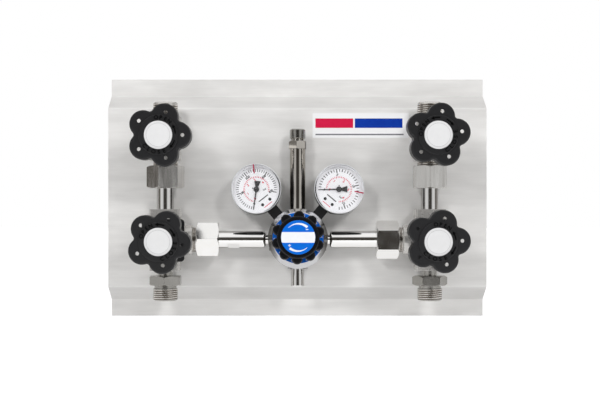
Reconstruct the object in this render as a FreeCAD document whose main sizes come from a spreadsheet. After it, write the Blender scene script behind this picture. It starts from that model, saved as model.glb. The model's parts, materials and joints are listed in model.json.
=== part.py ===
import FreeCAD, Part
import math
import os
import re
import Sketcher

# Gas cylinder manifold: a folded back panel that carries four shut-off valves, a pressure
# regulator with two gauges and a relief valve, and the pipework that joins them.
# The origin is the centre of the upper flange's back face, which lies on the wall.
# X runs to the right, the front faces -Y and Z is up. Lengths are in millimetres.

doc = FreeCAD.newDocument("gas_manifold")

# Driving dimensions: alias, value, what it measures

DIMENSIONS = (
    ("panelWidth", 421, "panel, side to side"),
    ("panelHeight", 268, "panel, top to bottom"),
    ("flangeHeight", 20, "each wall flange"),
    ("webRise", 15.4, "height that a slanted web takes up"),
    ("panStandoff", 30, "wall to the back of the pan"),
    ("sheetThickness", 1.5, "folded sheet"),
    ("bendRadius", 1.5, "inside radius of each fold"),
    ("labelWidth", 107, "sticker on the pan"),
    ("labelHeight", 27.6, "sticker on the pan"),
    ("labelThickness", 0.3, "sticker on the pan"),
    ("labelRight", 70.4, "panel's middle to the sticker's middle"),
    ("labelAboveMiddle", 80.2, "panel's middle to the sticker's middle"),
    ("valveSpread", 288, "left valve axis to right valve axis"),
    ("lowerRowDrop", 46, "lower row below the panel's middle"),
    ("upperRowLift", 64, "upper row above the panel's middle"),
    ("pipeStandoff", 30, "front of the pan to the pipe axes"),
    ("blockWidth", 32, "square section of a valve block"),
    ("blockChamfer", 1.6, "long edges of a valve block"),
    ("lowerBlockHeight", 66.5, "lower valve block"),
    ("upperBlockHeight", 48, "upper valve block"),
    ("bossLength", 14, "round side boss of a lower block"),
    ("threadDiameter", 26.4, "G 3/4 male thread, outside"),
    ("threadChamfer", 1.2, "lead-in of a male thread"),
    ("portBore", 12, "bore of a male port"),
    ("portDepth", 14, "depth of a port's bore"),
    ("sideThreadShow", 4.1, "side thread seen beyond the nut"),
    ("riserThreadShow", 5.3, "lower thread of an upper valve seen beyond the nut"),
    ("topThreadLength", 15.6, "upper thread of an upper valve"),
    ("neckDiameter", 15, "neck of an inlet fitting"),
    ("neckShow", 6, "neck seen between block and hexagon"),
    ("inletFlats", 33, "hexagon of an inlet fitting"),
    ("inletHexLength", 10.5, "hexagon of an inlet fitting"),
    ("inletThreadLength", 16.4, "male thread of an inlet fitting"),
    ("inletRelief", 3, "plain relief above an inlet thread"),
    ("nutFlats", 36, "union nut across flats"),
    ("nutLength", 24.6, "union nut"),
    ("nutWall", 4, "end wall of a union nut"),
    ("collarThickness", 3, "tube collar inside a union nut"),
    ("collarInset", 1, "collar smaller in diameter than the nut's bore"),
    ("tubeDiameter", 18, "feed tubes and risers"),
    ("tubeBore", 12, "bore of feed tubes and risers"),
    ("socketDepth", 8, "tube or neck let into its socket"),
    ("runningClearance", 0.05, "radial clearance of a close fit"),
    ("looseClearance", 0.3, "radial clearance of a tube in a nut"),
    ("feedNeckDiameter", 10, "neck of a feed tube in the regulator"),
    ("feedNeckBore", 6, "bore of that neck"),
    ("feedNeckShow", 4, "neck seen between regulator and tube"),
    ("feedEndWall", 3, "end wall of a feed tube behind its neck"),
    ("feedEndRounding", 3, "rounded end of a feed tube"),
    ("spannerFlats", 15.4, "spanner flats of the left feed tube, across"),
    ("spannerFlatsLength", 12, "spanner flats, along the tube"),
    ("spannerFlatsGap", 9.6, "union nut to the spanner flats"),
    ("glandShank", 20, "gland nut's shank in the block"),
    ("glandShankLength", 12, "gland nut's shank in the block"),
    ("glandFlats", 27, "gland nut across flats"),
    ("glandHexLength", 12, "gland nut's hexagon"),
    ("glandBarrel", 22, "gland nut's barrel"),
    ("glandBarrelLength", 22, "gland nut's barrel"),
    ("guardSize", 45.5, "square plate behind a lower handwheel"),
    ("guardThickness", 2.5, "square plate behind a lower handwheel"),
    ("guardCorner", 4, "corner radius of the square plate"),
    ("spindleDiameter", 10, "valve spindle"),
    ("spindleCollar", 12.6, "collar that keeps the spindle in"),
    ("spindleCollarLength", 3, "collar that keeps the spindle in"),
    ("tangSize", 5, "square tang that turns the plug"),
    ("tangLength", 5.5, "square tang that turns the plug"),
    ("plugDiameter", 14, "valve plug"),
    ("plugLength", 6, "valve plug"),
    ("plugSocketDepth", 5, "square socket in the plug"),
    ("chamberDepth", 10, "chamber below the gland nut's shank"),
    ("seatGap", 0.2, "plug to chamber floor when shut"),
    ("seatBore", 6, "passage through the valve seat"),
    ("seatBoreDepth", 5, "passage through the valve seat"),
    ("wheelFace", 87, "pipe axis to the handwheel's face"),
    ("wheelDepth", 22, "handwheel rim, front to back"),
    ("hubDepth", 30, "handwheel hub, front to back"),
    ("hubDiameter", 26, "handwheel hub at the back"),
    ("wheelWall", 3, "moulded wall of the handwheel"),
    ("lobeCount", 5, "handwheel lobes"),
    ("lobeRadius", 14.2, "handwheel lobe"),
    ("lobeCentre", 19.4, "wheel axis to a lobe's centre"),
    ("lobeHole", 4, "hole in each lobe"),
    ("lobeHoleCentre", 24.8, "wheel axis to a lobe's hole"),
    ("valleyRadius", 3, "rounding between two lobes"),
    ("wheelRounding", 2, "front edge of the handwheel"),
    ("ringDiameter", 41, "raised ring round the cap"),
    ("ringHeight", 2, "raised ring round the cap"),
    ("capDiameter", 29.2, "white centre cap"),
    ("capThickness", 3, "white centre cap"),
    ("capDome", 1.2, "white centre cap's crown"),
    ("driveSize", 8, "square end of the spindle"),
    ("driveLength", 12, "square end of the spindle"),
    ("spacerDiameter", 12, "sleeve between pan and block"),
    ("screwDiameter", 6, "screws through the pan"),
    ("screwClearance", 0.4, "radial clearance of a screw's hole in pan and sleeve"),
    ("screwHeadDiameter", 10, "cap head"),
    ("screwHeadLength", 6, "cap head"),
    ("screwSocket", 5, "hexagon socket in a screw's head"),
    ("screwEngagement", 10, "screw in the block"),
    ("screwPitch", 24, "upper screw to lower screw of a block"),
    ("regulatorTilt", 3.5, "degrees that the regulator is turned up about the tubes"),
    ("bodyDiameter", 58, "regulator body"),
    ("bodyBack", 24, "tube axis to the body's back"),
    ("bodyFront", 20, "tube axis to the diaphragm's seat"),
    ("bodyFoot", 3, "chamfer round the body's back"),
    ("chamberDiameter", 40, "low-pressure chamber"),
    ("chamberFloor", 4, "depth of the low-pressure chamber"),
    ("sideBossDiameter", 24, "tube bosses of the body"),
    ("sideBossReach", 31, "body axis to the face of a tube boss"),
    ("topBossReach", 32, "body axis to the face of any other boss"),
    ("topBossDiameter", 22, "relief valve's and outlet's boss"),
    ("gaugeBossDiameter", 18, "gauge bosses"),
    ("bonnetSkirtWall", 3, "bonnet's wall round the regulator body"),
    ("bonnetSkirtGap", 1, "tube bosses to the bonnet's skirt"),
    ("bonnetFront", 50, "tube axis to the bonnet's face"),
    ("bonnetInnerWall", 10, "bonnet's wall round the spring"),
    ("bonnetWall", 4, "bonnet's front wall"),
    ("bonnetCone", 12, "height of the bonnet's cone"),
    ("bonnetConeInset", 4.5, "how far the cone draws in"),
    ("bonnetShoulder", 6, "rounding below the bonnet's cone"),
    ("bonnetRounding", 2, "bonnet's front edge"),
    ("diaphragmThickness", 1, "diaphragm"),
    ("plateInset", 3, "diaphragm's stiffening plate inside the bonnet's wall"),
    ("plateThickness", 2, "stiffening plate on the diaphragm"),
    ("screwRodDiameter", 12, "regulator's adjusting screw"),
    ("rodCollar", 18, "collar under the bonnet's wall"),
    ("rodCollarLength", 3, "collar under the bonnet's wall"),
    ("rodEndGap", 2, "screw's end to the diaphragm's plate"),
    ("travelPlateInset", 1, "travelling spring plate inside the bonnet's wall"),
    ("travelPlateThickness", 4, "travelling spring plate"),
    ("springWire", 2.5, "range spring"),
    ("springDiameter", 28, "range spring, mean"),
    ("springTurns", 3.5, "range spring"),
    ("knobGap", 2, "bonnet's face to the knob's back"),
    ("knobFace", 70, "tube axis to the knob's face"),
    ("knobRadius", 22.4, "knob between its lobes"),
    ("knobLobes", 10, "lobes of the knob"),
    ("knobLobeRadius", 5.6, "lobe of the knob"),
    ("knobLobeDrop", 3.5, "knob's face to the lobes' face"),
    ("knobRounding", 1.5, "knob's front edges"),
    ("discDiameter", 35.6, "round label of the knob"),
    ("discThickness", 1, "round label of the knob"),
    ("scaleOuter", 53.6, "blue scale ring, outside"),
    ("scaleInner", 30, "blue scale ring, inside"),
    ("scaleThickness", 1.6, "blue scale ring"),
    ("reliefDiameter", 16.7, "relief valve's long body"),
    ("reliefLength", 67.3, "relief valve's long body above its boss"),
    ("reliefFlats", 18, "relief valve's hexagon"),
    ("reliefHexLength", 8.4, "relief valve's hexagon"),
    ("reliefGroove", 2.7, "vent groove below the cap"),
    ("reliefGrooveDiameter", 13.5, "vent groove below the cap"),
    ("ventHole", 2, "vent holes in the groove"),
    ("ventCount", 6, "vent holes in the groove"),
    ("reliefCapDiameter", 17.2, "relief valve's cap"),
    ("reliefCapLength", 10.4, "relief valve's cap"),
    ("spigotDiameter", 12, "screwed ends of relief valve and outlet tube"),
    ("outletDiameter", 13.8, "outlet tube"),
    ("outletBore", 9.8, "outlet tube"),
    ("outletLength", 18.5, "outlet tube below its boss"),
    ("gaugeReach", 70.5, "regulator's axis to a gauge's axis"),
    ("gaugeAngle", 50.5, "degrees of a gauge's stem above level"),
    ("gaugeDiameter", 54, "gauge case"),
    ("gaugeBack", 9, "stem axis to the back of a gauge"),
    ("gaugeDialSeat", 8, "stem axis to the dial's seat"),
    ("gaugeRim", 15, "stem axis to the case's rim"),
    ("gaugeFace", 20, "stem axis to the cover's face"),
    ("gaugeBezelWall", 1.6, "wall of the case's rim"),
    ("coverThickness", 2, "face of the clear cover"),
    ("stemSize", 12, "square stem of a gauge"),
    ("stemSpigot", 9.6, "screwed end of a gauge's stem"),
    ("dialThickness", 0.5, "dial"),
    ("arborDiameter", 2, "pointer's arbor"),
    ("arborHole", 3, "dial's hole"),
    ("pointerLength", 21.5, "arbor to the pointer's tip"),
    ("pointerTail", 9, "arbor to the pointer's tail"),
    ("pointerWidth", 1.6, "pointer beside its hub"),
    ("pointerTipWidth", 0.5, "pointer's tip"),
    ("pointerWaist", 3, "pointer's tail where it leaves the hub"),
    ("pointerTailWidth", 7, "pointer's tail at its end"),
    ("pointerThickness", 0.6, "pointer"),
    ("pointerGap", 1.2, "dial to the pointer"),
    ("pointerHub", 6, "pointer's hub"),
)

dims = doc.addObject("Spreadsheet::Sheet", "dims")
aliases = set()
for row, (alias, number, meaning) in enumerate(DIMENSIONS, 1):
    dims.set(f"A{row}", alias)
    dims.set(f"B{row}", str(number))
    dims.set(f"C{row}", meaning)
    dims.setAlias(f"B{row}", alias)
    aliases.add(alias)
doc.recompute()


def formula(text):
    """An expression on the sheet, with its name before every alias."""
    return re.sub(r"[A-Za-z]\w*", lambda word: sheet_name(word.group()), str(text))


def sheet_name(word):
    return "dims." + word if word in aliases else word


def value(text):
    return float(dims.evalExpression(formula(text)))


# Places that several pieces share, as formulas on the sheet

PANEL_MIDDLE = "-(panelHeight - flangeHeight) / 2"
LOWER_ROW = f"({PANEL_MIDDLE} - lowerRowDrop)"
UPPER_ROW = f"({PANEL_MIDDLE} + upperRowLift)"
PAN_FRONT = "(panStandoff + sheetThickness)"
PIPE_PLANE = f"({PAN_FRONT} + pipeStandoff)"
UNION_THREAD = "(nutLength - nutWall - collarThickness)"
SIDE_THREAD_END = f"(blockWidth / 2 + bossLength + sideThreadShow + {UNION_THREAD})"
RISER_THREAD_END = f"(upperBlockHeight / 2 + riserThreadShow + {UNION_THREAD})"
BLOCK_FRONT = "(blockWidth / 2)"
SHANK_END = f"({BLOCK_FRONT} - glandShankLength)"
CHAMBER_END = f"({SHANK_END} - chamberDepth)"
PLUG_BACK = f"({CHAMBER_END} + seatGap)"
GLAND_HEX_FRONT = f"({BLOCK_FRONT} + glandHexLength)"
GLAND_FRONT = f"({GLAND_HEX_FRONT} + glandBarrelLength)"
SOCKET_RADIUS = "(tubeDiameter / 2 + runningClearance)"
BONNET_RADIUS = "(bodyDiameter / 2 + bonnetSkirtWall)"
BONNET_CAVITY = f"({BONNET_RADIUS} - bonnetInnerWall)"
BONNET_INSIDE = "(bonnetFront - bonnetWall)"
DIAPHRAGM_TOP = "(bodyFront + diaphragmThickness + plateThickness)"
ROD_COLLAR_BACK = f"({BONNET_INSIDE} - rodCollarLength)"
TRAVEL_PLATE_FRONT = f"({ROD_COLLAR_BACK} - seatGap)"
TRAVEL_PLATE_BACK = f"({TRAVEL_PLATE_FRONT} - travelPlateThickness)"

# Turns that bring a piece's own axes into the frame

FRONT = FreeCAD.Rotation(FreeCAD.Vector(1, 0, 0), 90)

# How far the round pieces happen to be turned, in degrees
SPANNER_TURN = 32
RELIEF_TURN = -6.5
KNOB_TURN = -2.5
AXIS_X = FreeCAD.Vector(1, 0, 0)
AXIS_Y = FreeCAD.Vector(0, 1, 0)
AXIS_Z = FreeCAD.Vector(0, 0, 1)

sub_parts = []


# Tools for sketches and features


def new_body(label):
    body = doc.addObject("PartDesign::Body", label)
    body.Label = label
    sub_parts.append(body)
    return body


def origin_plane(body, role):
    for feature in body.Origin.OriginFeatures:
        if feature.Role == role:
            return feature


def attach(feature, body, role="XY_Plane"):
    feature.AttachmentSupport = (origin_plane(body, role), [""])
    feature.MapMode = "FlatFace"


def new_sketch(body, name, role, lift="0"):
    """An empty sketch on one of the body's own planes, lifted along the plane's normal."""
    sketch = body.newObject("Sketcher::SketchObject", name)
    attach(sketch, body, role)
    sketch.setExpression(".AttachmentOffset.Base.z", formula(lift))
    return sketch


def pin_point(sketch, geometry, end, across, up):
    """Holds a point of a sketch at the two formulas."""
    if across == "0":
        sketch.addConstraint(Sketcher.Constraint("PointOnObject", geometry, end, -2))
    else:
        index = sketch.addConstraint(
            Sketcher.Constraint("DistanceX", -1, 1, geometry, end, value(across)))
        sketch.setExpression(f"Constraints[{index}]", formula(across))
    if up == "0":
        sketch.addConstraint(Sketcher.Constraint("PointOnObject", geometry, end, -1))
    else:
        index = sketch.addConstraint(
            Sketcher.Constraint("DistanceY", -1, 1, geometry, end, value(up)))
        sketch.setExpression(f"Constraints[{index}]", formula(up))


def outline(body, name, corners, role="XZ_Plane", lift="0"):
    """A closed outline of straight lines through corners given as formulas."""
    sketch = new_sketch(body, name, role, lift)
    points = [FreeCAD.Vector(value(across), value(up), 0) for across, up in corners]
    count = len(points)
    for index in range(count):
        sketch.addGeometry(Part.LineSegment(points[index], points[(index + 1) % count]), False)
    for index in range(count):
        following = (index + 1) % count
        sketch.addConstraint(Sketcher.Constraint("Coincident", index, 2, following, 1))
    for index, (across, up) in enumerate(corners):
        pin_point(sketch, index, 1, across, up)
    return sketch


def circles(body, name, centres, radius, role="XY_Plane", lift="0"):
    """A sketch of like circles, their centres given as formulas."""
    sketch = new_sketch(body, name, role, lift)
    for across, up in centres:
        centre = FreeCAD.Vector(value(across), value(up), 0)
        index = sketch.addGeometry(Part.Circle(centre, AXIS_Z, value(radius)), False)
        pin_point(sketch, index, 3, across, up)
        bound = sketch.addConstraint(Sketcher.Constraint("Radius", index, value(radius)))
        sketch.setExpression(f"Constraints[{bound}]", formula(radius))
    return sketch


def rectangle(width, height, across="0", up="0"):
    left = f"{across} - ({width}) / 2"
    right = f"{across} + ({width}) / 2"
    low = f"{up} - ({height}) / 2"
    high = f"{up} + ({height}) / 2"
    return [(left, low), (right, low), (right, high), (left, high)]


def extrude(body, name, sketch, length, kind="Pad", backwards=False, symmetric=False):
    feature = body.newObject(f"PartDesign::{kind}", name)
    feature.Profile = sketch
    feature.setExpression("Length", formula(length))
    feature.Reversed = backwards
    if symmetric:
        feature.SideType = "Symmetric"
    return feature


def turned(body, name, corners, role="XZ_Plane", axis="V_Axis", cut=False):
    """Turns an outline about one of its sketch's axes, as material or as a bore."""
    sketch = outline(body, f"{name}_outline", corners, role)
    feature = body.newObject("PartDesign::Groove" if cut else "PartDesign::Revolution", name)
    feature.Profile = sketch
    feature.ReferenceAxis = (sketch, [axis])
    feature.Angle = 360
    return feature


def bored(body, name, radius, start, end, role="XZ_Plane"):
    """A round bore on the body's own axis, from one level to another."""
    corners = [("0", start), (radius, start), (radius, end), ("0", end)]
    return turned(body, name, corners, role, "V_Axis", cut=True)


def hexagon(body, name, flats, length, start="0"):
    prism = body.newObject("PartDesign::AdditivePrism", name)
    prism.Polygon = 6
    prism.setExpression("Circumradius", formula(f"({flats}) / sqrt(3)"))
    prism.setExpression("Height", formula(length))
    attach(prism, body)
    prism.setExpression(".AttachmentOffset.Base.z", formula(start))
    return prism


def chamfered_hexagon_end(body, name, flats, level, direction):
    """Turns the corners off one end of a hexagon at thirty degrees."""
    inner = f"({flats}) / 2"
    outer = f"({flats}) * 0.62"
    drop = f"{level} - ({direction}) * ({flats}) * 0.12 * tan(30)"
    corners = [(inner, level), (outer, level), (outer, drop)]
    return turned(body, name, corners, cut=True)


def dressed(body, name, size, test, kind="Fillet"):
    """A fillet or chamfer on those edges of the body that pass the test."""
    doc.recompute()
    base = body.Tip
    edges = [f"Edge{index}" for index, edge in enumerate(base.Shape.Edges, 1) if test(edge)]
    feature = body.newObject(f"PartDesign::{kind}", name)
    feature.Base = (base, edges)
    feature.setExpression("Radius" if kind == "Fillet" else "Size", formula(size))
    return feature


def repeated(body, name, features, count):
    """Copies features round the body's own Z axis."""
    pattern = body.newObject("PartDesign::PolarPattern", name)
    pattern.Originals = features
    axis = [entry for entry in body.Origin.OriginFeatures if entry.Role == "Z_Axis"][0]
    pattern.Axis = (axis, [""])
    pattern.Angle = 360
    pattern.setExpression("Occurrences", formula(count))
    body.Tip = pattern
    return pattern


def along(edge, direction):
    """True for a straight edge that runs along the direction."""
    if len(edge.Vertexes) < 2 or edge.Curve.TypeId != "Part::GeomLine":
        return False
    return abs(edge.tangentAt(edge.FirstParameter).dot(direction)) > 0.999


def at_level(edge, height):
    box = edge.BoundBox
    return abs(box.ZMin - height) < 0.01 and abs(box.ZMax - height) < 0.01


def place(body, across, back, up, rotation):
    where = FreeCAD.Vector(value(across), value(back), value(up))
    body.Placement = FreeCAD.Placement(where, rotation)


# Back panel and its sticker


def make_panel():
    body = new_body("back_panel")
    slant = "sqrt(panStandoff * panStandoff + webRise * webRise)"
    mitre = f"sheetThickness * ({slant} - webRise) / panStandoff"
    half = "panelHeight / 2"
    knee = f"({half} - flangeHeight)"
    back = [("0", half), ("0", knee), ("-panStandoff", f"{knee} - webRise")]
    front = [(f"-{PAN_FRONT}", f"{knee} - webRise + {mitre}"),
             ("-sheetThickness", f"{knee} + {mitre}"), ("-sheetThickness", half)]
    lower_back = [(across, f"-({up})") for across, up in reversed(back)]
    lower_front = [(across, f"-({up})") for across, up in reversed(front)]
    section = outline(body, "folded_section", back + lower_back + lower_front + front, "YZ_Plane")
    extrude(body, "panel_sheet", section, "panelWidth", symmetric=True)
    inner, outer = fold_edges()
    dressed(body, "inner_folds", "bendRadius", inner)
    dressed(body, "outer_folds", "bendRadius + sheetThickness", outer)
    for row, height in (("lower", "-lowerRowDrop"), ("upper", "upperRowLift")):
        centres = []
        for side in (-1, 1):
            for step in (-1, 1):
                centres.append((f"{side} * valveSpread / 2", f"{height} + {step} * screwPitch / 2"))
        holes = circles(body, f"{row}_hole_circles", centres, "screwDiameter / 2 + screwClearance",
                        "XZ_Plane")
        extrude(body, f"{row}_screw_holes", holes, f"{PAN_FRONT} + 1", "Pocket", backwards=True)
    place(body, "0", "0", PANEL_MIDDLE, FreeCAD.Rotation())


def fold_edges():
    """Tests for the edges inside and outside the panel's four folds."""
    knee = value("panelHeight / 2 - flangeHeight")
    rise = value("webRise")
    standoff = value("panStandoff")
    thickness = value("sheetThickness")

    def corner(edge, depth, height):
        if not along(edge, AXIS_X):
            return False
        middle = edge.BoundBox.Center
        return abs(middle.y + depth) < 0.01 and abs(abs(middle.z) - height) < 2 * thickness

    def inner(edge):
        return corner(edge, thickness, knee) or corner(edge, standoff, knee - rise)

    def outer(edge):
        return corner(edge, 0, knee) or corner(edge, standoff + thickness, knee - rise)

    return inner, outer


def make_label():
    body = new_body("info_label")
    sketch = outline(body, "label_outline", rectangle("labelWidth", "labelHeight"), "XZ_Plane")
    extrude(body, "label_sheet", sketch, "labelThickness")
    place(body, "labelRight", f"-{PAN_FRONT}", f"{PANEL_MIDDLE} + labelAboveMiddle",
          FreeCAD.Rotation())


# Valve pieces. Each is drawn with its own Z axis towards the front and its own Y axis up,
# with its origin where the spindle axis meets the pipe axis.


def port_profile(start, end, radius="threadDiameter / 2"):
    """A male port with a lead-in: pairs of radius and level."""
    return [("0", start), (radius, start), (radius, f"{end} - threadChamfer"),
            (f"{radius} - threadChamfer", end), ("0", end)]


def screw_holes(body):
    centres = [("0", "screwPitch / 2"), ("0", "-screwPitch / 2")]
    sketch = circles(body, "tapped_circles", centres, "screwDiameter / 2 + runningClearance",
                     lift="-blockWidth / 2")
    extrude(body, "tapped_holes", sketch, "screwEngagement + 1", "Pocket", backwards=True)


def spindle_bore(body):
    shank = "glandShank / 2 + runningClearance"
    plug = "plugDiameter / 2 + runningClearance"
    seat = "seatBore / 2"
    floor = f"{CHAMBER_END} - seatBoreDepth"
    corners = [("0", BLOCK_FRONT), (shank, BLOCK_FRONT), (shank, SHANK_END), (plug, SHANK_END),
               (plug, CHAMBER_END), (seat, CHAMBER_END), (seat, floor), ("0", floor)]
    turned(body, "spindle_bore", corners, cut=True)


def make_lower_block(label, side):
    """The side port points to the panel's middle: side is -1 for the left valve."""
    body = new_body(label)
    sketch = outline(body, "block_outline", rectangle("blockWidth", "lowerBlockHeight"), "XY_Plane")
    extrude(body, "block", sketch, "blockWidth", symmetric=True)
    dressed(body, "block_edges", "blockChamfer", lambda edge: along(edge, AXIS_Y), "Chamfer")
    inward = -side
    boss_end = "blockWidth / 2 + bossLength"
    boss = [("0", "0"), ("0", "blockWidth / 2"), (f"{boss_end} - 1", "blockWidth / 2"),
            (boss_end, "blockWidth / 2 - 1"), (boss_end, "threadDiameter / 2"),
            (f"{SIDE_THREAD_END} - threadChamfer", "threadDiameter / 2"),
            (SIDE_THREAD_END, "threadDiameter / 2 - threadChamfer"), (SIDE_THREAD_END, "0")]
    facing = [(level if level == "0" else f"{inward} * ({level})", radius)
              for level, radius in boss]
    turned(body, "side_port", facing, "XY_Plane", "H_Axis")
    bore_start = f"{inward} * {SIDE_THREAD_END}"
    bore_end = f"{inward} * ({SIDE_THREAD_END} - portDepth)"
    bore = [(bore_start, "0"), (bore_start, "portBore / 2"), (bore_end, "portBore / 2"),
            (bore_end, "0")]
    turned(body, "side_bore", bore, "XY_Plane", "H_Axis", cut=True)
    top = "lowerBlockHeight / 2"
    bored(body, "riser_socket", SOCKET_RADIUS, top, f"{top} - socketDepth", "XY_Plane")
    bored(body, "inlet_socket", "neckDiameter / 2 + runningClearance", f"-{top}",
          f"-{top} + socketDepth", "XY_Plane")
    spindle_bore(body)
    screw_holes(body)
    place(body, f"{side} * valveSpread / 2", f"-{PIPE_PLANE}", LOWER_ROW, FRONT)


def make_upper_block(label, side):
    body = new_body(label)
    sketch = outline(body, "block_outline", rectangle("blockWidth", "upperBlockHeight"), "XY_Plane")
    extrude(body, "block", sketch, "blockWidth", symmetric=True)
    dressed(body, "block_edges", "blockChamfer", lambda edge: along(edge, AXIS_Y), "Chamfer")
    top = "upperBlockHeight / 2"
    top_end = f"({top} + topThreadLength)"
    turned(body, "top_port", port_profile("0", top_end), "XY_Plane")
    bored(body, "top_bore", "portBore / 2", top_end, f"{top_end} - portDepth", "XY_Plane")
    foot = [(radius, level if level == "0" else f"-({level})")
            for radius, level in port_profile("0", RISER_THREAD_END)]
    turned(body, "foot_port", foot, "XY_Plane")
    bored(body, "foot_bore", "portBore / 2", f"-{RISER_THREAD_END}",
          f"-({RISER_THREAD_END} - portDepth)", "XY_Plane")
    spindle_bore(body)
    screw_holes(body)
    place(body, f"{side} * valveSpread / 2", f"-{PIPE_PLANE}", UPPER_ROW, FRONT)


def make_gland(label, across, height):
    body = new_body(label)
    hexagon(body, "hexagon", "glandFlats", "glandHexLength", BLOCK_FRONT)
    chamfered_hexagon_end(body, "hexagon_chamfer", "glandFlats", GLAND_HEX_FRONT, 1)
    bore = "(spindleDiameter / 2 + runningClearance)"
    recess = "(spindleCollar / 2 + runningClearance)"
    shank = "glandShank / 2"
    barrel = "glandBarrel / 2"
    recess_end = f"{SHANK_END} + spindleCollarLength + seatGap"
    corners = [(recess, SHANK_END), (shank, SHANK_END), (shank, f"{BLOCK_FRONT} + 1"),
               (barrel, f"{BLOCK_FRONT} + 1"), (barrel, f"{GLAND_FRONT} - 1"),
               (f"{barrel} - 1", GLAND_FRONT), (bore, GLAND_FRONT), (bore, recess_end),
               (recess, recess_end)]
    turned(body, "shank_and_barrel", corners)
    bored(body, "spindle_way", bore, f"{BLOCK_FRONT} - 1", f"{GLAND_FRONT} + 1")
    place(body, across, f"-{PIPE_PLANE}", height, FRONT)


def make_guard(label, across):
    body = new_body(label)
    sketch = outline(body, "guard_outline", rectangle("guardSize", "guardSize"), "XY_Plane",
                     GLAND_HEX_FRONT)
    extrude(body, "guard_plate", sketch, "guardThickness")
    dressed(body, "guard_corners", "guardCorner", lambda edge: along(edge, AXIS_Z))
    bored(body, "guard_hole", "glandBarrel / 2 + runningClearance", GLAND_HEX_FRONT,
          f"{GLAND_HEX_FRONT} + guardThickness")
    place(body, across, f"-{PIPE_PLANE}", LOWER_ROW, FRONT)


def make_spindle(label, across, height, turn):
    body = new_body(label)
    rod = "spindleDiameter / 2"
    collar = "spindleCollar / 2"
    drive_start = "(wheelFace - capThickness - driveLength)"
    collar_end = f"({SHANK_END} + spindleCollarLength)"
    corners = [("0", SHANK_END), (collar, SHANK_END), (collar, collar_end), (rod, collar_end),
               (rod, drive_start), ("0", drive_start)]
    turned(body, "rod", corners)
    tang = outline(body, "tang_outline", rectangle("tangSize", "tangSize"), "XY_Plane", SHANK_END)
    extrude(body, "tang", tang, "tangLength", backwards=True)
    square = outline(body, "drive_outline", rectangle("driveSize * 0.8", "driveSize * 0.8"),
                     "XY_Plane", drive_start)
    extrude(body, "drive", square, "driveLength - runningClearance")
    place(body, across, f"-{PIPE_PLANE}", height, spun(turn))


def make_plug(label, across, height, turn):
    body = new_body(label)
    front = f"({PLUG_BACK} + plugLength)"
    corners = [("0", PLUG_BACK), ("plugDiameter / 2 - 1", PLUG_BACK),
               ("plugDiameter / 2", f"{PLUG_BACK} + 1"), ("plugDiameter / 2", front), ("0", front)]
    turned(body, "plug", corners)
    width = "tangSize + 2 * runningClearance"
    socket = outline(body, "socket_outline", rectangle(width, width), "XY_Plane", front)
    extrude(body, "tang_socket", socket, "plugSocketDepth", "Pocket")
    place(body, across, f"-{PIPE_PLANE}", height, spun(turn))


def spun(turn):
    """Front-facing, and turned by so many degrees as seen from the front."""
    return FRONT.multiply(FreeCAD.Rotation(AXIS_Z, turn))


def make_handwheel(label, across, height, turn):
    body = new_body(label)
    rim_back = "(wheelFace - ringHeight - wheelDepth)"
    rim_front = "(wheelFace - ringHeight)"
    hub_back = "(wheelFace - hubDepth)"
    turned(body, "core", [("0", rim_back), ("lobeCentre", rim_back), ("lobeCentre", rim_front),
                          ("0", rim_front)])
    lobe = extrude(body, "lobe", circles(body, "lobe_circle", [("lobeCentre", "0")], "lobeRadius",
                                         lift=rim_back), "wheelDepth")
    repeated(body, "lobes", [lobe], "lobeCount")
    dressed(body, "valleys", "valleyRadius", lambda edge: along(edge, AXIS_Z) and beyond_core(edge))
    front = value(rim_front)
    dressed(body, "front_edge", "wheelRounding", lambda edge: at_level(edge, front))
    inner = "lobeRadius - wheelWall"
    hollow_circle = circles(body, "hollow_circle", [("lobeCentre", "0")], inner, lift=rim_back)
    hollow = extrude(body, "lobe_hollow", hollow_circle, "wheelDepth - wheelWall", "Pocket",
                     backwards=True)
    repeated(body, "lobe_hollows", [hollow], "lobeCount")
    bored(body, "hub_hollow", "lobeCentre", rim_back, f"{rim_front} - wheelWall")
    hub = "hubDiameter / 2"
    turned(body, "hub", [("0", hub_back), (hub, hub_back), (hub, f"{rim_front} - 1"),
                         ("0", f"{rim_front} - 1")])
    ring = "ringDiameter / 2"
    turned(body, "cap_ring", [("0", f"{rim_front} - 1"), (ring, f"{rim_front} - 1"),
                              (ring, "wheelFace - 0.6"), (f"{ring} - 0.6", "wheelFace"),
                              ("0", "wheelFace")])
    bored(body, "cap_seat", "capDiameter / 2 + runningClearance", "wheelFace - capThickness",
          "wheelFace")
    width = "driveSize * 0.8 + 2 * runningClearance"
    square = outline(body, "drive_outline", rectangle(width, width), "XY_Plane",
                     "wheelFace - capThickness")
    extrude(body, "drive_hole", square, "driveLength", "Pocket")
    bored(body, "rod_hole", "spindleDiameter / 2 + runningClearance", hub_back,
          "wheelFace - capThickness - driveLength")
    hole_circle = circles(body, "finger_hole_circle", [("lobeHoleCentre", "0")], "lobeHole / 2",
                          lift=rim_front)
    hole = extrude(body, "finger_hole", hole_circle, "wheelDepth", "Pocket")
    repeated(body, "finger_holes", [hole], "lobeCount")
    place(body, across, f"-{PIPE_PLANE}", height, spun(turn))


def beyond_core(edge):
    middle = edge.BoundBox.Center
    return math.hypot(middle.x, middle.y) > value("lobeCentre")


def make_wheel_cap(label, across, height, turn):
    body = new_body(label)
    radius = "capDiameter / 2"
    corners = [("0", "wheelFace - capThickness"), (radius, "wheelFace - capThickness"),
               (radius, "wheelFace - 0.3"), (f"{radius} - 2", "wheelFace + capDome / 2"),
               (f"{radius} * 0.5", "wheelFace + capDome"), ("0", "wheelFace + capDome")]
    turned(body, "cap", corners)
    place(body, across, f"-{PIPE_PLANE}", height, spun(turn))


# Pipework between the valves and the regulator


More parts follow.
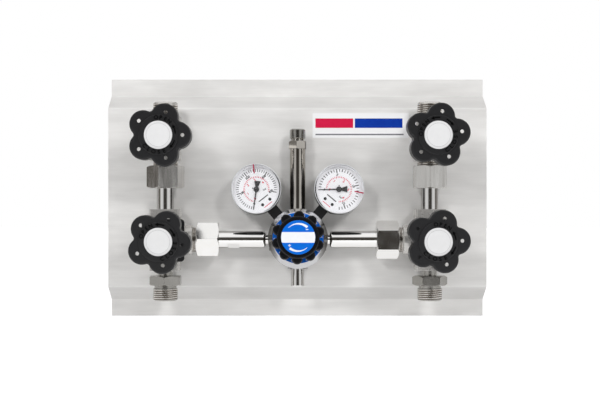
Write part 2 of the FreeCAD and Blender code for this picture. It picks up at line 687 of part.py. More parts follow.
def make_union_nut(label, across, height, rotation, turn):
    """Its own Z axis runs from the tube's end of the nut to the valve's end."""
    body = new_body(label)
    hexagon(body, "hexagon", "nutFlats", "nutLength")
    chamfered_hexagon_end(body, "tube_end_chamfer", "nutFlats", "0", -1)
    chamfered_hexagon_end(body, "valve_end_chamfer", "nutFlats", "nutLength", 1)
    bored(body, "tube_hole", "tubeDiameter / 2 + looseClearance", "0", "nutWall")
    bored(body, "thread_bore", "threadDiameter / 2 + runningClearance", "nutWall", "nutLength")
    place(body, across, f"-{PIPE_PLANE}", height, rotation.multiply(FreeCAD.Rotation(AXIS_Z, turn)))


def tube_profile(foot, shoulder):
    """A tube's outline from the corners of its foot to the collar inside the nut."""
    collar = "threadDiameter / 2 + runningClearance - collarInset / 2"
    end = f"{shoulder} + collarThickness"
    return foot + [("tubeDiameter / 2", shoulder), (collar, shoulder), (collar, end),
                   ("tubeBore / 2", end)]


def make_riser(label, across):
    """Its own Z axis runs up, from the bottom of its socket in the lower block."""
    body = new_body(label)
    socket_level = f"({LOWER_ROW} + lowerBlockHeight / 2 - socketDepth)"
    nut_level = f"({UPPER_ROW} - {RISER_THREAD_END} - collarThickness - nutWall)"
    shoulder = f"({nut_level} + nutWall - {socket_level})"
    foot = [("tubeBore / 2", "0"), ("tubeDiameter / 2", "0")]
    turned(body, "riser", tube_profile(foot, shoulder))
    place(body, across, f"-{PIPE_PLANE}", socket_level, FreeCAD.Rotation())


def make_feed_tube(label, side):
    """Its own Z axis runs outwards, from the bottom of its socket in the regulator body."""
    body = new_body(label)
    start = "(sideBossReach - socketDepth)"
    shoulder = f"(valveSpread / 2 - {SIDE_THREAD_END} - collarThickness - {start})"
    neck = "feedNeckDiameter / 2"
    neck_bore = "feedNeckBore / 2"
    neck_end = "(socketDepth + feedNeckShow)"
    bore_end = f"({neck_end} + feedEndWall)"
    foot = [("tubeBore / 2", bore_end), (neck_bore, bore_end), (neck_bore, "0"), (neck, "0"),
            (neck, neck_end), ("tubeDiameter / 2", neck_end)]
    turned(body, "tube", tube_profile(foot, shoulder))
    level = value(neck_end)
    rim = value("tubeDiameter / 2") - 0.1
    dressed(body, "rounded_end", "feedEndRounding",
            lambda edge: at_level(edge, level) and edge.BoundBox.XMax > rim)
    if side < 0:
        cut_spanner_flats(body, f"{shoulder} - nutWall - spannerFlatsGap - spannerFlatsLength")
    rotation = FreeCAD.Rotation(AXIS_Y, side * 90).multiply(FreeCAD.Rotation(AXIS_Z, SPANNER_TURN))
    place(body, f"{side} * {start}", f"-{PIPE_PLANE}", LOWER_ROW, rotation)


def cut_spanner_flats(body, start):
    for name, way in (("first", 1), ("second", -1)):
        inner = f"{way} * spannerFlats / 2"
        outer = f"{way} * tubeDiameter"
        corners = [(inner, "-tubeDiameter"), (outer, "-tubeDiameter"), (outer, "tubeDiameter"),
                   (inner, "tubeDiameter")]
        flat = outline(body, f"{name}_flat_outline", corners, "XY_Plane", start)
        extrude(body, f"{name}_flat", flat, "spannerFlatsLength", "Pocket", backwards=True)


def make_inlet_fitting(label, across, turn):
    """Its own Z axis runs down from the top of its neck."""
    body = new_body(label)
    neck = "neckDiameter / 2"
    bore = "portBore / 2"
    hex_start = "(socketDepth + neckShow)"
    hex_end = f"({hex_start} + inletHexLength)"
    thread_end = f"({hex_end} + inletThreadLength)"
    relief = "threadDiameter / 2 - threadChamfer"
    hexagon(body, "hexagon", "inletFlats", "inletHexLength", hex_start)
    chamfered_hexagon_end(body, "upper_chamfer", "inletFlats", hex_start, -1)
    chamfered_hexagon_end(body, "lower_chamfer", "inletFlats", hex_end, 1)
    turned(body, "neck", [("0", "0"), (neck, "0"), (neck, f"{hex_start} + 1"),
                          ("0", f"{hex_start} + 1")])
    turned(body, "thread", [("0", f"{hex_end} - 1"), (relief, f"{hex_end} - 1"),
                            (relief, f"{hex_end} + inletRelief"),
                            ("threadDiameter / 2", f"{hex_end} + inletRelief"),
                            ("threadDiameter / 2", f"{thread_end} - threadChamfer"),
                            ("threadDiameter / 2 - threadChamfer", thread_end), ("0", thread_end)])
    bored(body, "port_bore", bore, f"{thread_end} - portDepth", thread_end)
    level = f"{LOWER_ROW} - lowerBlockHeight / 2 + socketDepth"
    down = FreeCAD.Rotation(AXIS_X, 180)
    place(body, across, f"-{PIPE_PLANE}", level, down.multiply(FreeCAD.Rotation(AXIS_Z, turn)))


# Fastenings behind the valves


def fastening_places():
    """Each screw's place on the pan, as formulas for across and up."""
    for row in (LOWER_ROW, UPPER_ROW):
        for side in (-1, 1):
            for step in (-1, 1):
                yield f"{side} * valveSpread / 2", f"{row} + {step} * screwPitch / 2"


def make_spacers():
    length = value("pipeStandoff - blockWidth / 2")
    sleeve = Part.makeCylinder(value("spacerDiameter / 2"), length)
    bore = Part.makeCylinder(value("screwDiameter / 2 + screwClearance"), length)
    tube = sleeve.cut(bore)
    add_group("spacer_sleeves", tube, value(f"-{PAN_FRONT}"))


def make_screws():
    head = Part.makeCylinder(value("screwHeadDiameter / 2"), value("screwHeadLength"))
    socket = Part.Face(Part.makePolygon([
        FreeCAD.Vector(math.cos(math.radians(60 * corner)), math.sin(math.radians(60 * corner)), 0)
        * value("screwSocket / sqrt(3)") for corner in range(7)]))
    recess = socket.extrude(AXIS_Z * value("screwHeadLength / 2"))
    reach = value("sheetThickness + pipeStandoff - blockWidth / 2 + screwEngagement")
    shank = Part.makeCylinder(value("screwDiameter / 2"), reach)
    shank.translate(AXIS_Z * value("screwHeadLength"))
    screw = head.cut(recess).fuse(shank).removeSplitter()
    add_group("panel_screws", screw, value("screwHeadLength - panStandoff"))


def add_group(label, shape, depth):
    """Copies a front-pointing solid to every fastening place, as one group."""
    copies = []
    for across, up in fastening_places():
        copy = shape.copy()
        where = FreeCAD.Vector(value(across), depth, value(up))
        copy.Placement = FreeCAD.Placement(where, FRONT)
        copies.append(copy)
    group = doc.addObject("Part::Feature", label)
    group.Label = label
    group.Shape = Part.makeCompound(copies)
    group.Placement = FreeCAD.Placement()
    sub_parts.append(group)


# Regulator. Its pieces are drawn with their own Z axis along the knob's axis, and the whole
# group is turned up a little about the feed tubes.


def tilted(rotation=FRONT):
    return FreeCAD.Rotation(AXIS_X, -value("regulatorTilt")).multiply(rotation)


def place_on_regulator(body, rotation=FRONT):
    place(body, "0", f"-{PIPE_PLANE}", LOWER_ROW, tilted(rotation))


def boss(body, name, angle, reach, diameter, bore, depth):
    """A round boss square to the body's axis, and the socket in it."""
    stub = body.newObject("PartDesign::AdditiveCylinder", name)
    attach(stub, body)
    stub.setExpression("Radius", formula(f"({diameter}) / 2"))
    stub.setExpression("Height", formula(reach))
    outwards = FreeCAD.Rotation(AXIS_Z, angle).multiply(FreeCAD.Rotation(AXIS_Y, 90))
    stub.AttachmentOffset = FreeCAD.Placement(FreeCAD.Vector(), outwards)
    hole = body.newObject("PartDesign::SubtractiveCylinder", f"{name}_socket")
    attach(hole, body)
    hole.setExpression("Radius", formula(bore))
    hole.setExpression("Height", formula(f"{depth} + 1"))
    start = outwards.multVec(AXIS_Z) * value(f"({reach}) - {depth}")
    hole.AttachmentOffset = FreeCAD.Placement(start, outwards)


def make_regulator_body():
    body = new_body("regulator_body")
    radius = "bodyDiameter / 2"
    chamber = "chamberDiameter / 2"
    floor = "bodyFront - chamberFloor"
    turned(body, "round_body", [("0", "-bodyBack"), (f"{radius} - bodyFoot", "-bodyBack"),
                                (radius, "-bodyBack + bodyFoot"), (radius, "bodyFront"),
                                ("0", "bodyFront")])
    spigot = "spigotDiameter / 2 + runningClearance"
    neck = "feedNeckDiameter / 2 + runningClearance"
    for side, angle in (("right", 0), ("left", 180)):
        boss(body, f"{side}_tube_boss", angle, "sideBossReach", "sideBossDiameter", neck,
             "socketDepth")
    for end, angle in (("relief", 90), ("outlet", -90)):
        boss(body, f"{end}_boss", angle, "topBossReach", "topBossDiameter", spigot, "socketDepth")
    lean = value("gaugeAngle")
    stem = "stemSpigot / 2 + runningClearance"
    for side, angle in (("right", lean), ("left", 180 - lean)):
        boss(body, f"{side}_gauge_boss", angle, "topBossReach", "gaugeBossDiameter", stem,
             "socketDepth")
    bored(body, "chamber", chamber, floor, "bodyFront")
    place_on_regulator(body)


def make_bonnet():
    body = new_body("regulator_bonnet")
    outer = BONNET_RADIUS
    skirt = "sideBossDiameter / 2 + bonnetSkirtGap"
    over_body = "bodyDiameter / 2 + runningClearance"
    seat = "bodyFront + diaphragmThickness"
    cavity = BONNET_CAVITY
    way = "screwRodDiameter / 2 + runningClearance"
    shoulder = "bonnetFront - bonnetCone"
    rim = f"{outer} - bonnetConeInset"
    corners = [(over_body, skirt), (outer, skirt), (outer, shoulder), (rim, "bonnetFront"),
               (way, "bonnetFront"), (way, BONNET_INSIDE), (cavity, BONNET_INSIDE), (cavity, seat),
               (over_body, seat)]
    turned(body, "bonnet", corners)
    for name, height, radius, rounding in (
            ("bonnet_shoulder", shoulder, outer, "bonnetShoulder"),
            ("bonnet_edge", "bonnetFront", rim, "bonnetRounding")):
        level = value(height)
        reach = value(radius) - 0.1
        dressed(body, name, rounding,
                lambda edge: at_level(edge, level) and edge.BoundBox.XMax > reach)
    place_on_regulator(body)


def make_diaphragm():
    body = new_body("diaphragm")
    radius = "bodyDiameter / 2"
    plate = f"({BONNET_CAVITY} - plateInset)"
    sheet_top = "bodyFront + diaphragmThickness"
    turned(body, "sheet_and_plate", [("0", "bodyFront"), (radius, "bodyFront"), (radius, sheet_top),
                                     (plate, sheet_top), (plate, DIAPHRAGM_TOP),
                                     ("0", DIAPHRAGM_TOP)])
    place_on_regulator(body)


def make_adjusting_screw():
    body = new_body("adjusting_screw")
    rod = "screwRodDiameter / 2"
    collar = "rodCollar / 2"
    low = f"{DIAPHRAGM_TOP} + rodEndGap + travelPlateThickness"
    top = "(knobFace - discThickness - 2)"
    turned(body, "rod", [("0", low), (f"{rod} - 1", low), (rod, f"{low} + 1"), (rod, ROD_COLLAR_BACK),
                         (collar, ROD_COLLAR_BACK), (collar, BONNET_INSIDE), (rod, BONNET_INSIDE),
                         (rod, top), ("0", top)])
    place_on_regulator(body)


def make_spring_plate():
    body = new_body("spring_plate")
    inner = "screwRodDiameter / 2 + runningClearance"
    outer = f"({BONNET_CAVITY} - travelPlateInset)"
    turned(body, "plate", [(inner, TRAVEL_PLATE_BACK), (outer, TRAVEL_PLATE_BACK),
                           (outer, TRAVEL_PLATE_FRONT), (inner, TRAVEL_PLATE_FRONT)])
    place_on_regulator(body)


def make_spring():
    """A wire coil between the diaphragm's plate and the travelling plate."""
    body = new_body("range_spring")
    mean = "springDiameter / 2"
    start = f"{DIAPHRAGM_TOP} + springWire / 2"
    height = f"({TRAVEL_PLATE_BACK} - {DIAPHRAGM_TOP} - springWire)"
    sketch = new_sketch(body, "wire_circle", "XZ_Plane")
    centre = FreeCAD.Vector(value(mean), value(start), 0)
    sketch.addGeometry(Part.Circle(centre, AXIS_Z, value("springWire / 2")), False)
    pin_point(sketch, 0, 3, mean, start)
    bound = sketch.addConstraint(Sketcher.Constraint("Radius", 0, value("springWire / 2")))
    sketch.setExpression(f"Constraints[{bound}]", formula("springWire / 2"))
    coil = body.newObject("PartDesign::AdditiveHelix", "coil")
    coil.Profile = sketch
    coil.ReferenceAxis = (sketch, ["V_Axis"])
    coil.Mode = "pitch-height-angle"
    coil.setExpression("Pitch", formula(f"{height} / springTurns"))
    coil.setExpression("Height", formula(height))
    place_on_regulator(body)


def make_knob():
    body = new_body("regulator_knob")
    back = "(bonnetFront + knobGap)"
    lobe_front = "(knobFace - knobLobeDrop)"
    turned(body, "barrel", [("0", back), ("knobRadius", back), ("knobRadius", "knobFace"),
                            ("0", "knobFace")])
    lobe = extrude(body, "lobe", circles(body, "lobe_circle", [("0", "knobRadius")],
                                         "knobLobeRadius", lift=back), f"{lobe_front} - {back}")
    repeated(body, "lobes", [lobe], "knobLobes")
    face = value("knobFace")
    lobe_face = value(lobe_front)
    dressed(body, "front_edges", "knobRounding",
            lambda edge: at_level(edge, face) or (at_level(edge, lobe_face) and outside_barrel(edge)))
    bored(body, "disc_seat", "discDiameter / 2 + runningClearance", "knobFace - discThickness",
          "knobFace")
    bored(body, "rod_socket", "screwRodDiameter / 2 + runningClearance", back,
          "knobFace - discThickness - 2")
    bored(body, "back_recess", "knobRadius - wheelWall", back, f"{back} + bonnetWall")
    place_on_regulator(body, spun(KNOB_TURN))


def outside_barrel(edge):
    middle = edge.CenterOfMass
    return math.hypot(middle.x, middle.y) > value("knobRadius + 0.2")


def make_knob_disc():
    body = new_body("knob_disc")
    back = "knobFace - discThickness"
    turned(body, "disc", [("0", back), ("discDiameter / 2", back), ("discDiameter / 2", "knobFace"),
                          ("0", "knobFace")])
    place_on_regulator(body)


def make_scale_ring():
    body = new_body("scale_ring")
    top = "bonnetFront + scaleThickness"
    turned(body, "ring", [("scaleInner / 2", "bonnetFront"), ("scaleOuter / 2", "bonnetFront"),
                          ("scaleOuter / 2", top), ("scaleInner / 2", top)])
    place_on_regulator(body)


# Relief valve and outlet tube. Their own Z axis runs out of the regulator body, from the
# bottom of their socket.


def place_on_boss(body, angle, start, turn=0):
    """Stands a piece in a boss of the regulator body, at a level along the boss."""
    outwards = FreeCAD.Rotation(AXIS_Z, angle).multiply(FreeCAD.Rotation(AXIS_Y, 90))
    rotation = tilted().multiply(outwards)
    shift = rotation.multVec(AXIS_Z) * value(start)
    axis = FreeCAD.Vector(0, value(f"-{PIPE_PLANE}"), value(LOWER_ROW))
    turned_piece = rotation.multiply(FreeCAD.Rotation(AXIS_Z, turn))
    body.Placement = FreeCAD.Placement(axis + shift, turned_piece)


RELIEF_HEX = "(socketDepth + reliefLength)"
RELIEF_GROOVE = f"({RELIEF_HEX} + reliefHexLength)"
RELIEF_CAP = f"({RELIEF_GROOVE} + reliefGroove)"


def make_relief_body():
    body = new_body("relief_valve_body")
    spigot = "spigotDiameter / 2"
    barrel = "reliefDiameter / 2"
    groove = "reliefGrooveDiameter / 2"
    turned(body, "long_body", [("0", "0"), (spigot, "0"), (spigot, "socketDepth"),
                               (barrel, "socketDepth"), (barrel, f"{RELIEF_HEX} + 1"),
                               ("0", f"{RELIEF_HEX} + 1")])
    hexagon(body, "hexagon", "reliefFlats", "reliefHexLength", RELIEF_HEX)
    chamfered_hexagon_end(body, "hexagon_chamfer", "reliefFlats", RELIEF_GROOVE, 1)
    turned(body, "vent_neck", [("0", f"{RELIEF_GROOVE} - 1"), (groove, f"{RELIEF_GROOVE} - 1"),
                               (groove, RELIEF_CAP), ("0", RELIEF_CAP)])
    bored(body, "vent_chamber", f"{groove} - 2", f"{RELIEF_GROOVE} - 4", RELIEF_CAP)
    vent = body.newObject("PartDesign::SubtractiveCylinder", "vent")
    attach(vent, body)
    vent.setExpression("Radius", formula("ventHole / 2"))
    vent.setExpression("Height", formula("reliefGrooveDiameter"))
    vent.AttachmentOffset = FreeCAD.Placement(FreeCAD.Vector(), FreeCAD.Rotation(AXIS_Y, 90))
    vent.setExpression(".AttachmentOffset.Base.z", formula(f"{RELIEF_GROOVE} + reliefGroove / 2"))
    repeated(body, "vents", [vent], "ventCount")
    place_on_boss(body, 90, "topBossReach - socketDepth", RELIEF_TURN)


def make_relief_cap():
    body = new_body("relief_valve_cap")
    radius = "reliefCapDiameter / 2"
    plug = "reliefGrooveDiameter / 2 - 2 - runningClearance"
    top = f"{RELIEF_CAP} + reliefCapLength"
    turned(body, "cap", [("0", f"{RELIEF_CAP} - 1"), (plug, f"{RELIEF_CAP} - 1"), (plug, RELIEF_CAP),
                         (f"{radius} - 0.6", RELIEF_CAP), (radius, f"{RELIEF_CAP} + 0.6"),
                         (radius, f"{top} - 1"), (f"{radius} - 1", top), ("0", top)])
    place_on_boss(body, 90, "topBossReach - socketDepth")


def make_outlet_tube():
    body = new_body("outlet_tube")
    bore = "outletBore / 2"
    radius = "outletDiameter / 2"
    end = "socketDepth + outletLength"
    turned(body, "tube", [(bore, "0"), ("spigotDiameter / 2", "0"),
                          ("spigotDiameter / 2", "socketDepth"), (radius, "socketDepth"),
                          (radius, f"{end} - 0.5"), (f"{radius} - 0.5", end), (bore, end)])
    place_on_boss(body, -90, "topBossReach - socketDepth")


# Gauges. Each piece is drawn with its own Z axis towards the front, its origin on the stem's
# axis at the middle of the dial, and its stem pointing to the regulator along its own -Y axis.


def place_gauge(body, side, turn=0):
    lean = value("gaugeAngle")
    angle = lean if side > 0 else 180 - lean
    rotation = tilted().multiply(FreeCAD.Rotation(AXIS_Z, angle - 90))
    shift = rotation.multVec(AXIS_Y) * value("gaugeReach")
    axis = FreeCAD.Vector(0, value(f"-{PIPE_PLANE}"), value(LOWER_ROW))
    body.Placement = FreeCAD.Placement(axis + shift, rotation.multiply(FreeCAD.Rotation(AXIS_Z, turn)))


def make_gauge_case(label, side):
    body = new_body(label)
    radius = "gaugeDiameter / 2"
    inner = f"({radius} - gaugeBezelWall)"
    turned(body, "case", [("0", "-gaugeBack"), (f"{radius} - 2", "-gaugeBack"),
                          (radius, "-gaugeBack + 2"), (radius, "gaugeRim"), (inner, "gaugeRim"),
                          (inner, "gaugeDialSeat"), ("0", "gaugeDialSeat")])
    reach = "(gaugeReach - topBossReach)"
    stem = outline(body, "stem_outline", rectangle("stemSize", "stemSize"), "XZ_Plane")
    extrude(body, "stem", stem, reach)
    spigot_end = f"({reach} + socketDepth)"
    spigot = circles(body, "spigot_circle", [("0", "0")], "stemSpigot / 2", "XZ_Plane")
    extrude(body, "stem_spigot", spigot, f"{spigot_end} - runningClearance")
    bored(body, "arbor_bearing", "arborDiameter / 2 + runningClearance", "0", "gaugeDialSeat")
    place_gauge(body, side)


def make_dial(label, side):
    body = new_body(label)
    radius = "gaugeDiameter / 2 - gaugeBezelWall - runningClearance"
    hole = "arborHole / 2"
    top = "gaugeDialSeat + dialThickness"
    turned(body, "dial", [(hole, "gaugeDialSeat"), (radius, "gaugeDialSeat"), (radius, top),
                          (hole, top)])
    place_gauge(body, side)


def make_pointer(label, side, turn):
    """The needle points along its own +Y axis before it is turned to its zero mark."""
    body = new_body(label)
    level = "gaugeDialSeat + dialThickness + pointerGap"
    arbor = "arborDiameter / 2"
    hub = "pointerHub / 2"
    turned(body, "arbor_and_hub", [("0", "1"), (arbor, "1"), (arbor, f"{level} - 0.5"),
                                   (hub, f"{level} - 0.5"), (hub, f"{level} + pointerThickness + 0.8"),
                                   ("0", f"{level} + pointerThickness + 0.8")])
    half = "pointerWidth / 2"
    tip = "pointerTipWidth / 2"
    waist = "pointerWaist / 2"
    tail = "pointerTailWidth / 2"
    needle = outline(body, "needle_outline", [(f"-({half})", "0"), (f"-({waist})", "-pointerHub / 2"),
                                              (f"-({tail})", "-pointerTail"), (tail, "-pointerTail"),
                                              (waist, "-pointerHub / 2"), (half, "0"),
                                              (tip, "pointerLength"), (f"-({tip})", "pointerLength")],
                     "XY_Plane", level)
    extrude(body, "needle", needle, "pointerThickness")
    place_gauge(body, side, turn)


def make_gauge_cover(label, side):
    body = new_body(label)
    radius = "gaugeDiameter / 2"
    inner = f"({radius} - gaugeBezelWall)"
    turned(body, "cover", [("0", "gaugeFace - coverThickness"), (inner, "gaugeFace - coverThickness"),
                           (inner, "gaugeRim"), (radius, "gaugeRim"), (radius, "gaugeFace - 1"),
                           (f"{radius} - 1", "gaugeFace"), ("0", "gaugeFace")])
    place_gauge(body, side)


# The whole manifold

NUT_TO_LEFT = FreeCAD.Rotation(AXIS_Y, -90)
NUT_TO_RIGHT = FreeCAD.Rotation(AXIS_Y, 90)
NUT_UP = FreeCAD.Rotation()
VALVES = (("upper_left", -1, UPPER_ROW, 0), ("upper_right", 1, UPPER_ROW, 8.5),
          ("lower_left", -1, LOWER_ROW, -7), ("lower_right", 1, LOWER_ROW, 2.5))
INLET_TURNS = {"left": 30, "right": 0}
RISER_NUT_TURNS = {"left": 14, "right": 25.5}
FEED_NUT_TURNS = {"left": 33.5, "right": 0}
POINTER_TURNS = {"left": 132.5, "right": 130.5}

make_panel()
make_label()
make_spacers()
make_screws()
for name, side, row, turn in VALVES:
    across = f"{side} * valveSpread / 2"
    if row == LOWER_ROW:
        make_lower_block(f"{name}_valve_body", side)
        make_guard(f"{name}_square_plate", across)
    else:
        make_upper_block(f"{name}_valve_body", side)
    make_gland(f"{name}_gland_nut", across, row)
    make_plug(f"{name}_valve_plug", across, row, turn)
    make_spindle(f"{name}_spindle", across, row, turn)
    make_handwheel(f"{name}_handwheel", across, row, turn)
    make_wheel_cap(f"{name}_wheel_cap", across, row, turn)

for name, side in (("left", -1), ("right", 1)):
    across = f"{side} * valveSpread / 2"
    feed_nut = f"{side} * (valveSpread / 2 - {SIDE_THREAD_END} - collarThickness - nutWall)"
    riser_nut = f"{UPPER_ROW} - {RISER_THREAD_END} - collarThickness - nutWall"
    outwards = NUT_TO_RIGHT if side > 0 else NUT_TO_LEFT
    make_inlet_fitting(f"{name}_inlet_fitting", across, INLET_TURNS[name])
    make_union_nut(f"{name}_feed_union_nut", feed_nut, LOWER_ROW, outwards, FEED_NUT_TURNS[name])
    make_union_nut(f"{name}_riser_union_nut", across, riser_nut, NUT_UP, RISER_NUT_TURNS[name])
    make_riser(f"{name}_riser_pipe", across)
    make_feed_tube(f"{name}_feed_tube", side)
    make_gauge_case(f"{name}_gauge_case", side)
    make_dial(f"{name}_gauge_dial", side)
    make_pointer(f"{name}_gauge_pointer", side, POINTER_TURNS[name])
    make_gauge_cover(f"{name}_gauge_cover", side)

make_regulator_body()
make_diaphragm()
make_spring()
make_spring_plate()
make_adjusting_screw()
make_bonnet()
make_scale_ring()
make_knob()
make_knob_disc()
make_relief_body()
make_relief_cap()
make_outlet_tube()

# Check every object, then write each sub-part

doc.recompute()
for entry in doc.Objects:
    if "Invalid" in entry.State or "Error" in entry.State:
        raise RuntimeError(f"{entry.Label} failed: {entry.State}")
for part in sub_parts:
    if part.Shape.isNull() or not part.Shape.isValid():
        raise RuntimeError(f"{part.Label} has no valid shape")

os.makedirs("parts", exist_ok=True)
for part in sub_parts:
    part.Shape.exportStep(f"parts/{part.Label}.step")
print(len(sub_parts), "sub-parts written")
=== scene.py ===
import json
import math

import bmesh
import bpy
from mathutils import Matrix, Vector


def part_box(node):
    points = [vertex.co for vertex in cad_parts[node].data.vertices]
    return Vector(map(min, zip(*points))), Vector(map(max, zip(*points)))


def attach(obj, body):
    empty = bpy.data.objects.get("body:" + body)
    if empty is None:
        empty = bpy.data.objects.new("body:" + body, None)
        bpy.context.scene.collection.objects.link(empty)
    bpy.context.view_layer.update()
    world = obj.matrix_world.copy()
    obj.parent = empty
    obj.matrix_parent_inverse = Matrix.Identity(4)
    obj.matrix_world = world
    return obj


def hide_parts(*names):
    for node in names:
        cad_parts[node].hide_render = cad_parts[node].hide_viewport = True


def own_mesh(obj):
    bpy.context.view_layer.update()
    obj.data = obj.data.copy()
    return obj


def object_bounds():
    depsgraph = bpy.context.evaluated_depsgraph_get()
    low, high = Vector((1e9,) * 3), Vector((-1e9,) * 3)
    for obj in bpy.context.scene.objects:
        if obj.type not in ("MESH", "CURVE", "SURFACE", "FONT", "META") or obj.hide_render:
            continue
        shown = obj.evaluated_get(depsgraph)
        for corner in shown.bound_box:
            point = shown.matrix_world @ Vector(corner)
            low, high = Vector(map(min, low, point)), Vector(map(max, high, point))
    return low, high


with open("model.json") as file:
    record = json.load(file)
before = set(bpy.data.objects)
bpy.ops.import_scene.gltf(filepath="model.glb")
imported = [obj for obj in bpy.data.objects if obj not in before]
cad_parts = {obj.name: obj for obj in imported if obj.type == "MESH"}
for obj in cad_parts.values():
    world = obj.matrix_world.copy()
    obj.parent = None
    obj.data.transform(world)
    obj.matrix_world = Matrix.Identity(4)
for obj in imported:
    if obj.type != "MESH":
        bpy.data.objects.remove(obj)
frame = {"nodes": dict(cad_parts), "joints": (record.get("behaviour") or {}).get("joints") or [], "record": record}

cadLow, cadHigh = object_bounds()
print("frame loaded")

# Places and directions come from the joints, so every piece sits where the frame says.
joints = {joint["name"]: joint for joint in frame["joints"]}
rootBody = "manifold"
valveNames = ["upper_left", "upper_right", "lower_left", "lower_right"]
gaugeSides = ["left", "right"]
mm = 0.001


def turned(degrees, axis="Z"):
    return Matrix.Rotation(math.radians(degrees), 4, axis)


def facing(position, front, turnDegrees=0.0):
    # axes of a piece seen from the front: X right, Y up, Z towards the viewer
    front = Vector(front).normalized()
    right = Vector((1.0, 0.0, 0.0))
    up = front.cross(right).normalized()
    axes = Matrix((right, up, front)).transposed().to_4x4()
    return Matrix.Translation(Vector(position)) @ axes @ turned(turnDegrees)


def facingJoint(name, turnDegrees=0.0):
    # every joint of the frame turns about an axis that points back into the panel or out of it
    joint = joints[name]
    axis = Vector(joint["axis"])
    front = axis if axis.y < 0.0 else -axis
    return facing(joint["pos_m"], front, turnDegrees)


def polar(radius, degrees, level=0.0):
    angle = math.radians(degrees)
    return Vector((radius * math.cos(angle), radius * math.sin(angle), level))


# Materials. Every pattern reads Object coordinates, in metres.

def startMaterial(name):
    material = bpy.data.materials.new(name)
    material.use_nodes = True
    tree = material.node_tree
    return material, tree, tree.nodes["Principled BSDF"]


def feed(tree, sockets, values):
    # each value is a constant or another node's output
    for socket, value in zip(sockets, values):
        if isinstance(value, bpy.types.NodeSocket):
            tree.links.new(value, socket)
        else:
            socket.default_value = value


def plug(tree, node, **inputs):
    # sockets by name, with an underscore where the name has a space
    feed(tree, [node.inputs[key.replace("_", " ")] for key in inputs], inputs.values())


def addNode(tree, kind, settings=None, **inputs):
    node = tree.nodes.new(kind)
    for key, value in (settings or {}).items():
        setattr(node, key, value)
    plug(tree, node, **inputs)
    return node


def worked(tree, operation, *values):
    node = addNode(tree, "ShaderNodeMath", {"operation": operation})
    feed(tree, node.inputs, values)
    return node.outputs[0]


def stretchedNoise(tree, stretch, detail):
    # noise drawn out along the axes by the three scales
    coordinates = addNode(tree, "ShaderNodeTexCoord")
    mapping = addNode(tree, "ShaderNodeMapping", Vector=coordinates.outputs["Object"], Scale=stretch)
    noise = addNode(tree, "ShaderNodeTexNoise", Vector=mapping.outputs["Vector"], Scale=1.0, Detail=detail)
    return noise.outputs["Fac"]


def remapped(tree, source, low, high, fromLow=0.3, fromHigh=0.7):
    # the noise lies nearly all between the two values that it is taken from
    node = addNode(tree, "ShaderNodeMapRange", Value=source, From_Min=fromLow, From_Max=fromHigh,
                   To_Min=low, To_Max=high)
    return node.outputs["Result"]


def mixedColour(tree, factor, first, second, way="MIX"):
    # a colour Mix node has its factor at socket 0, its colours at 6 and 7 and its result at 2
    mix = addNode(tree, "ShaderNodeMix", {"data_type": "RGBA", "blend_type": way})
    colours = [(*value, 1.0) if isinstance(value, tuple) else value for value in (first, second)]
    feed(tree, (mix.inputs[0], mix.inputs[6], mix.inputs[7]), (factor, *colours))
    return mix.outputs[2]


edgeSamples = 4


def bumped(tree, source, strength, distance, edgeRadius=0.0):
    # a relief from the noise, and edges that catch the light as if they were rounded
    bump = addNode(tree, "ShaderNodeBump", Height=source, Strength=strength, Distance=distance)
    if edgeRadius > 0.0:
        edge = addNode(tree, "ShaderNodeBevel", {"samples": edgeSamples}, Radius=edgeRadius)
        plug(tree, bump, Normal=edge.outputs["Normal"])
    return bump.outputs["Normal"]


panelFinish = {
    "dark": (0.73, 0.72, 0.705), "light": (0.94, 0.93, 0.915), "metallic": 0.25, "anisotropic": 0.9,
    "roughLow": 0.36, "roughHigh": 0.44, "grain": (16.0, 60.0, 1200.0), "cloud": (14.0, 14.0, 60.0),
    "detail": 4.0, "grainShare": 0.35, "cloudShare": 0.65, "bump": 0.06, "bumpDepth": 0.0002,
}


def brushedPanel():
    finish = panelFinish
    material, tree, shader = startMaterial("brushedPanel")
    grain = stretchedNoise(tree, finish["grain"], finish["detail"])
    cloud = stretchedNoise(tree, finish["cloud"], finish["detail"])
    clouded = remapped(tree, cloud, 0.0, finish["cloudShare"])
    share = worked(tree, "MULTIPLY_ADD", grain, finish["grainShare"], clouded)
    # the brushing runs across, so reflections are drawn out up and down
    brushed = addNode(tree, "ShaderNodeTangent", {"direction_type": "RADIAL", "axis": "X"})
    plug(tree, shader, Base_Color=mixedColour(tree, share, finish["dark"], finish["light"]),
         Roughness=remapped(tree, grain, finish["roughLow"], finish["roughHigh"]),
         Normal=bumped(tree, grain, finish["bump"], finish["bumpDepth"]),
         Tangent=brushed.outputs["Tangent"], Anisotropic=finish["anisotropic"], Metallic=finish["metallic"])
    return material


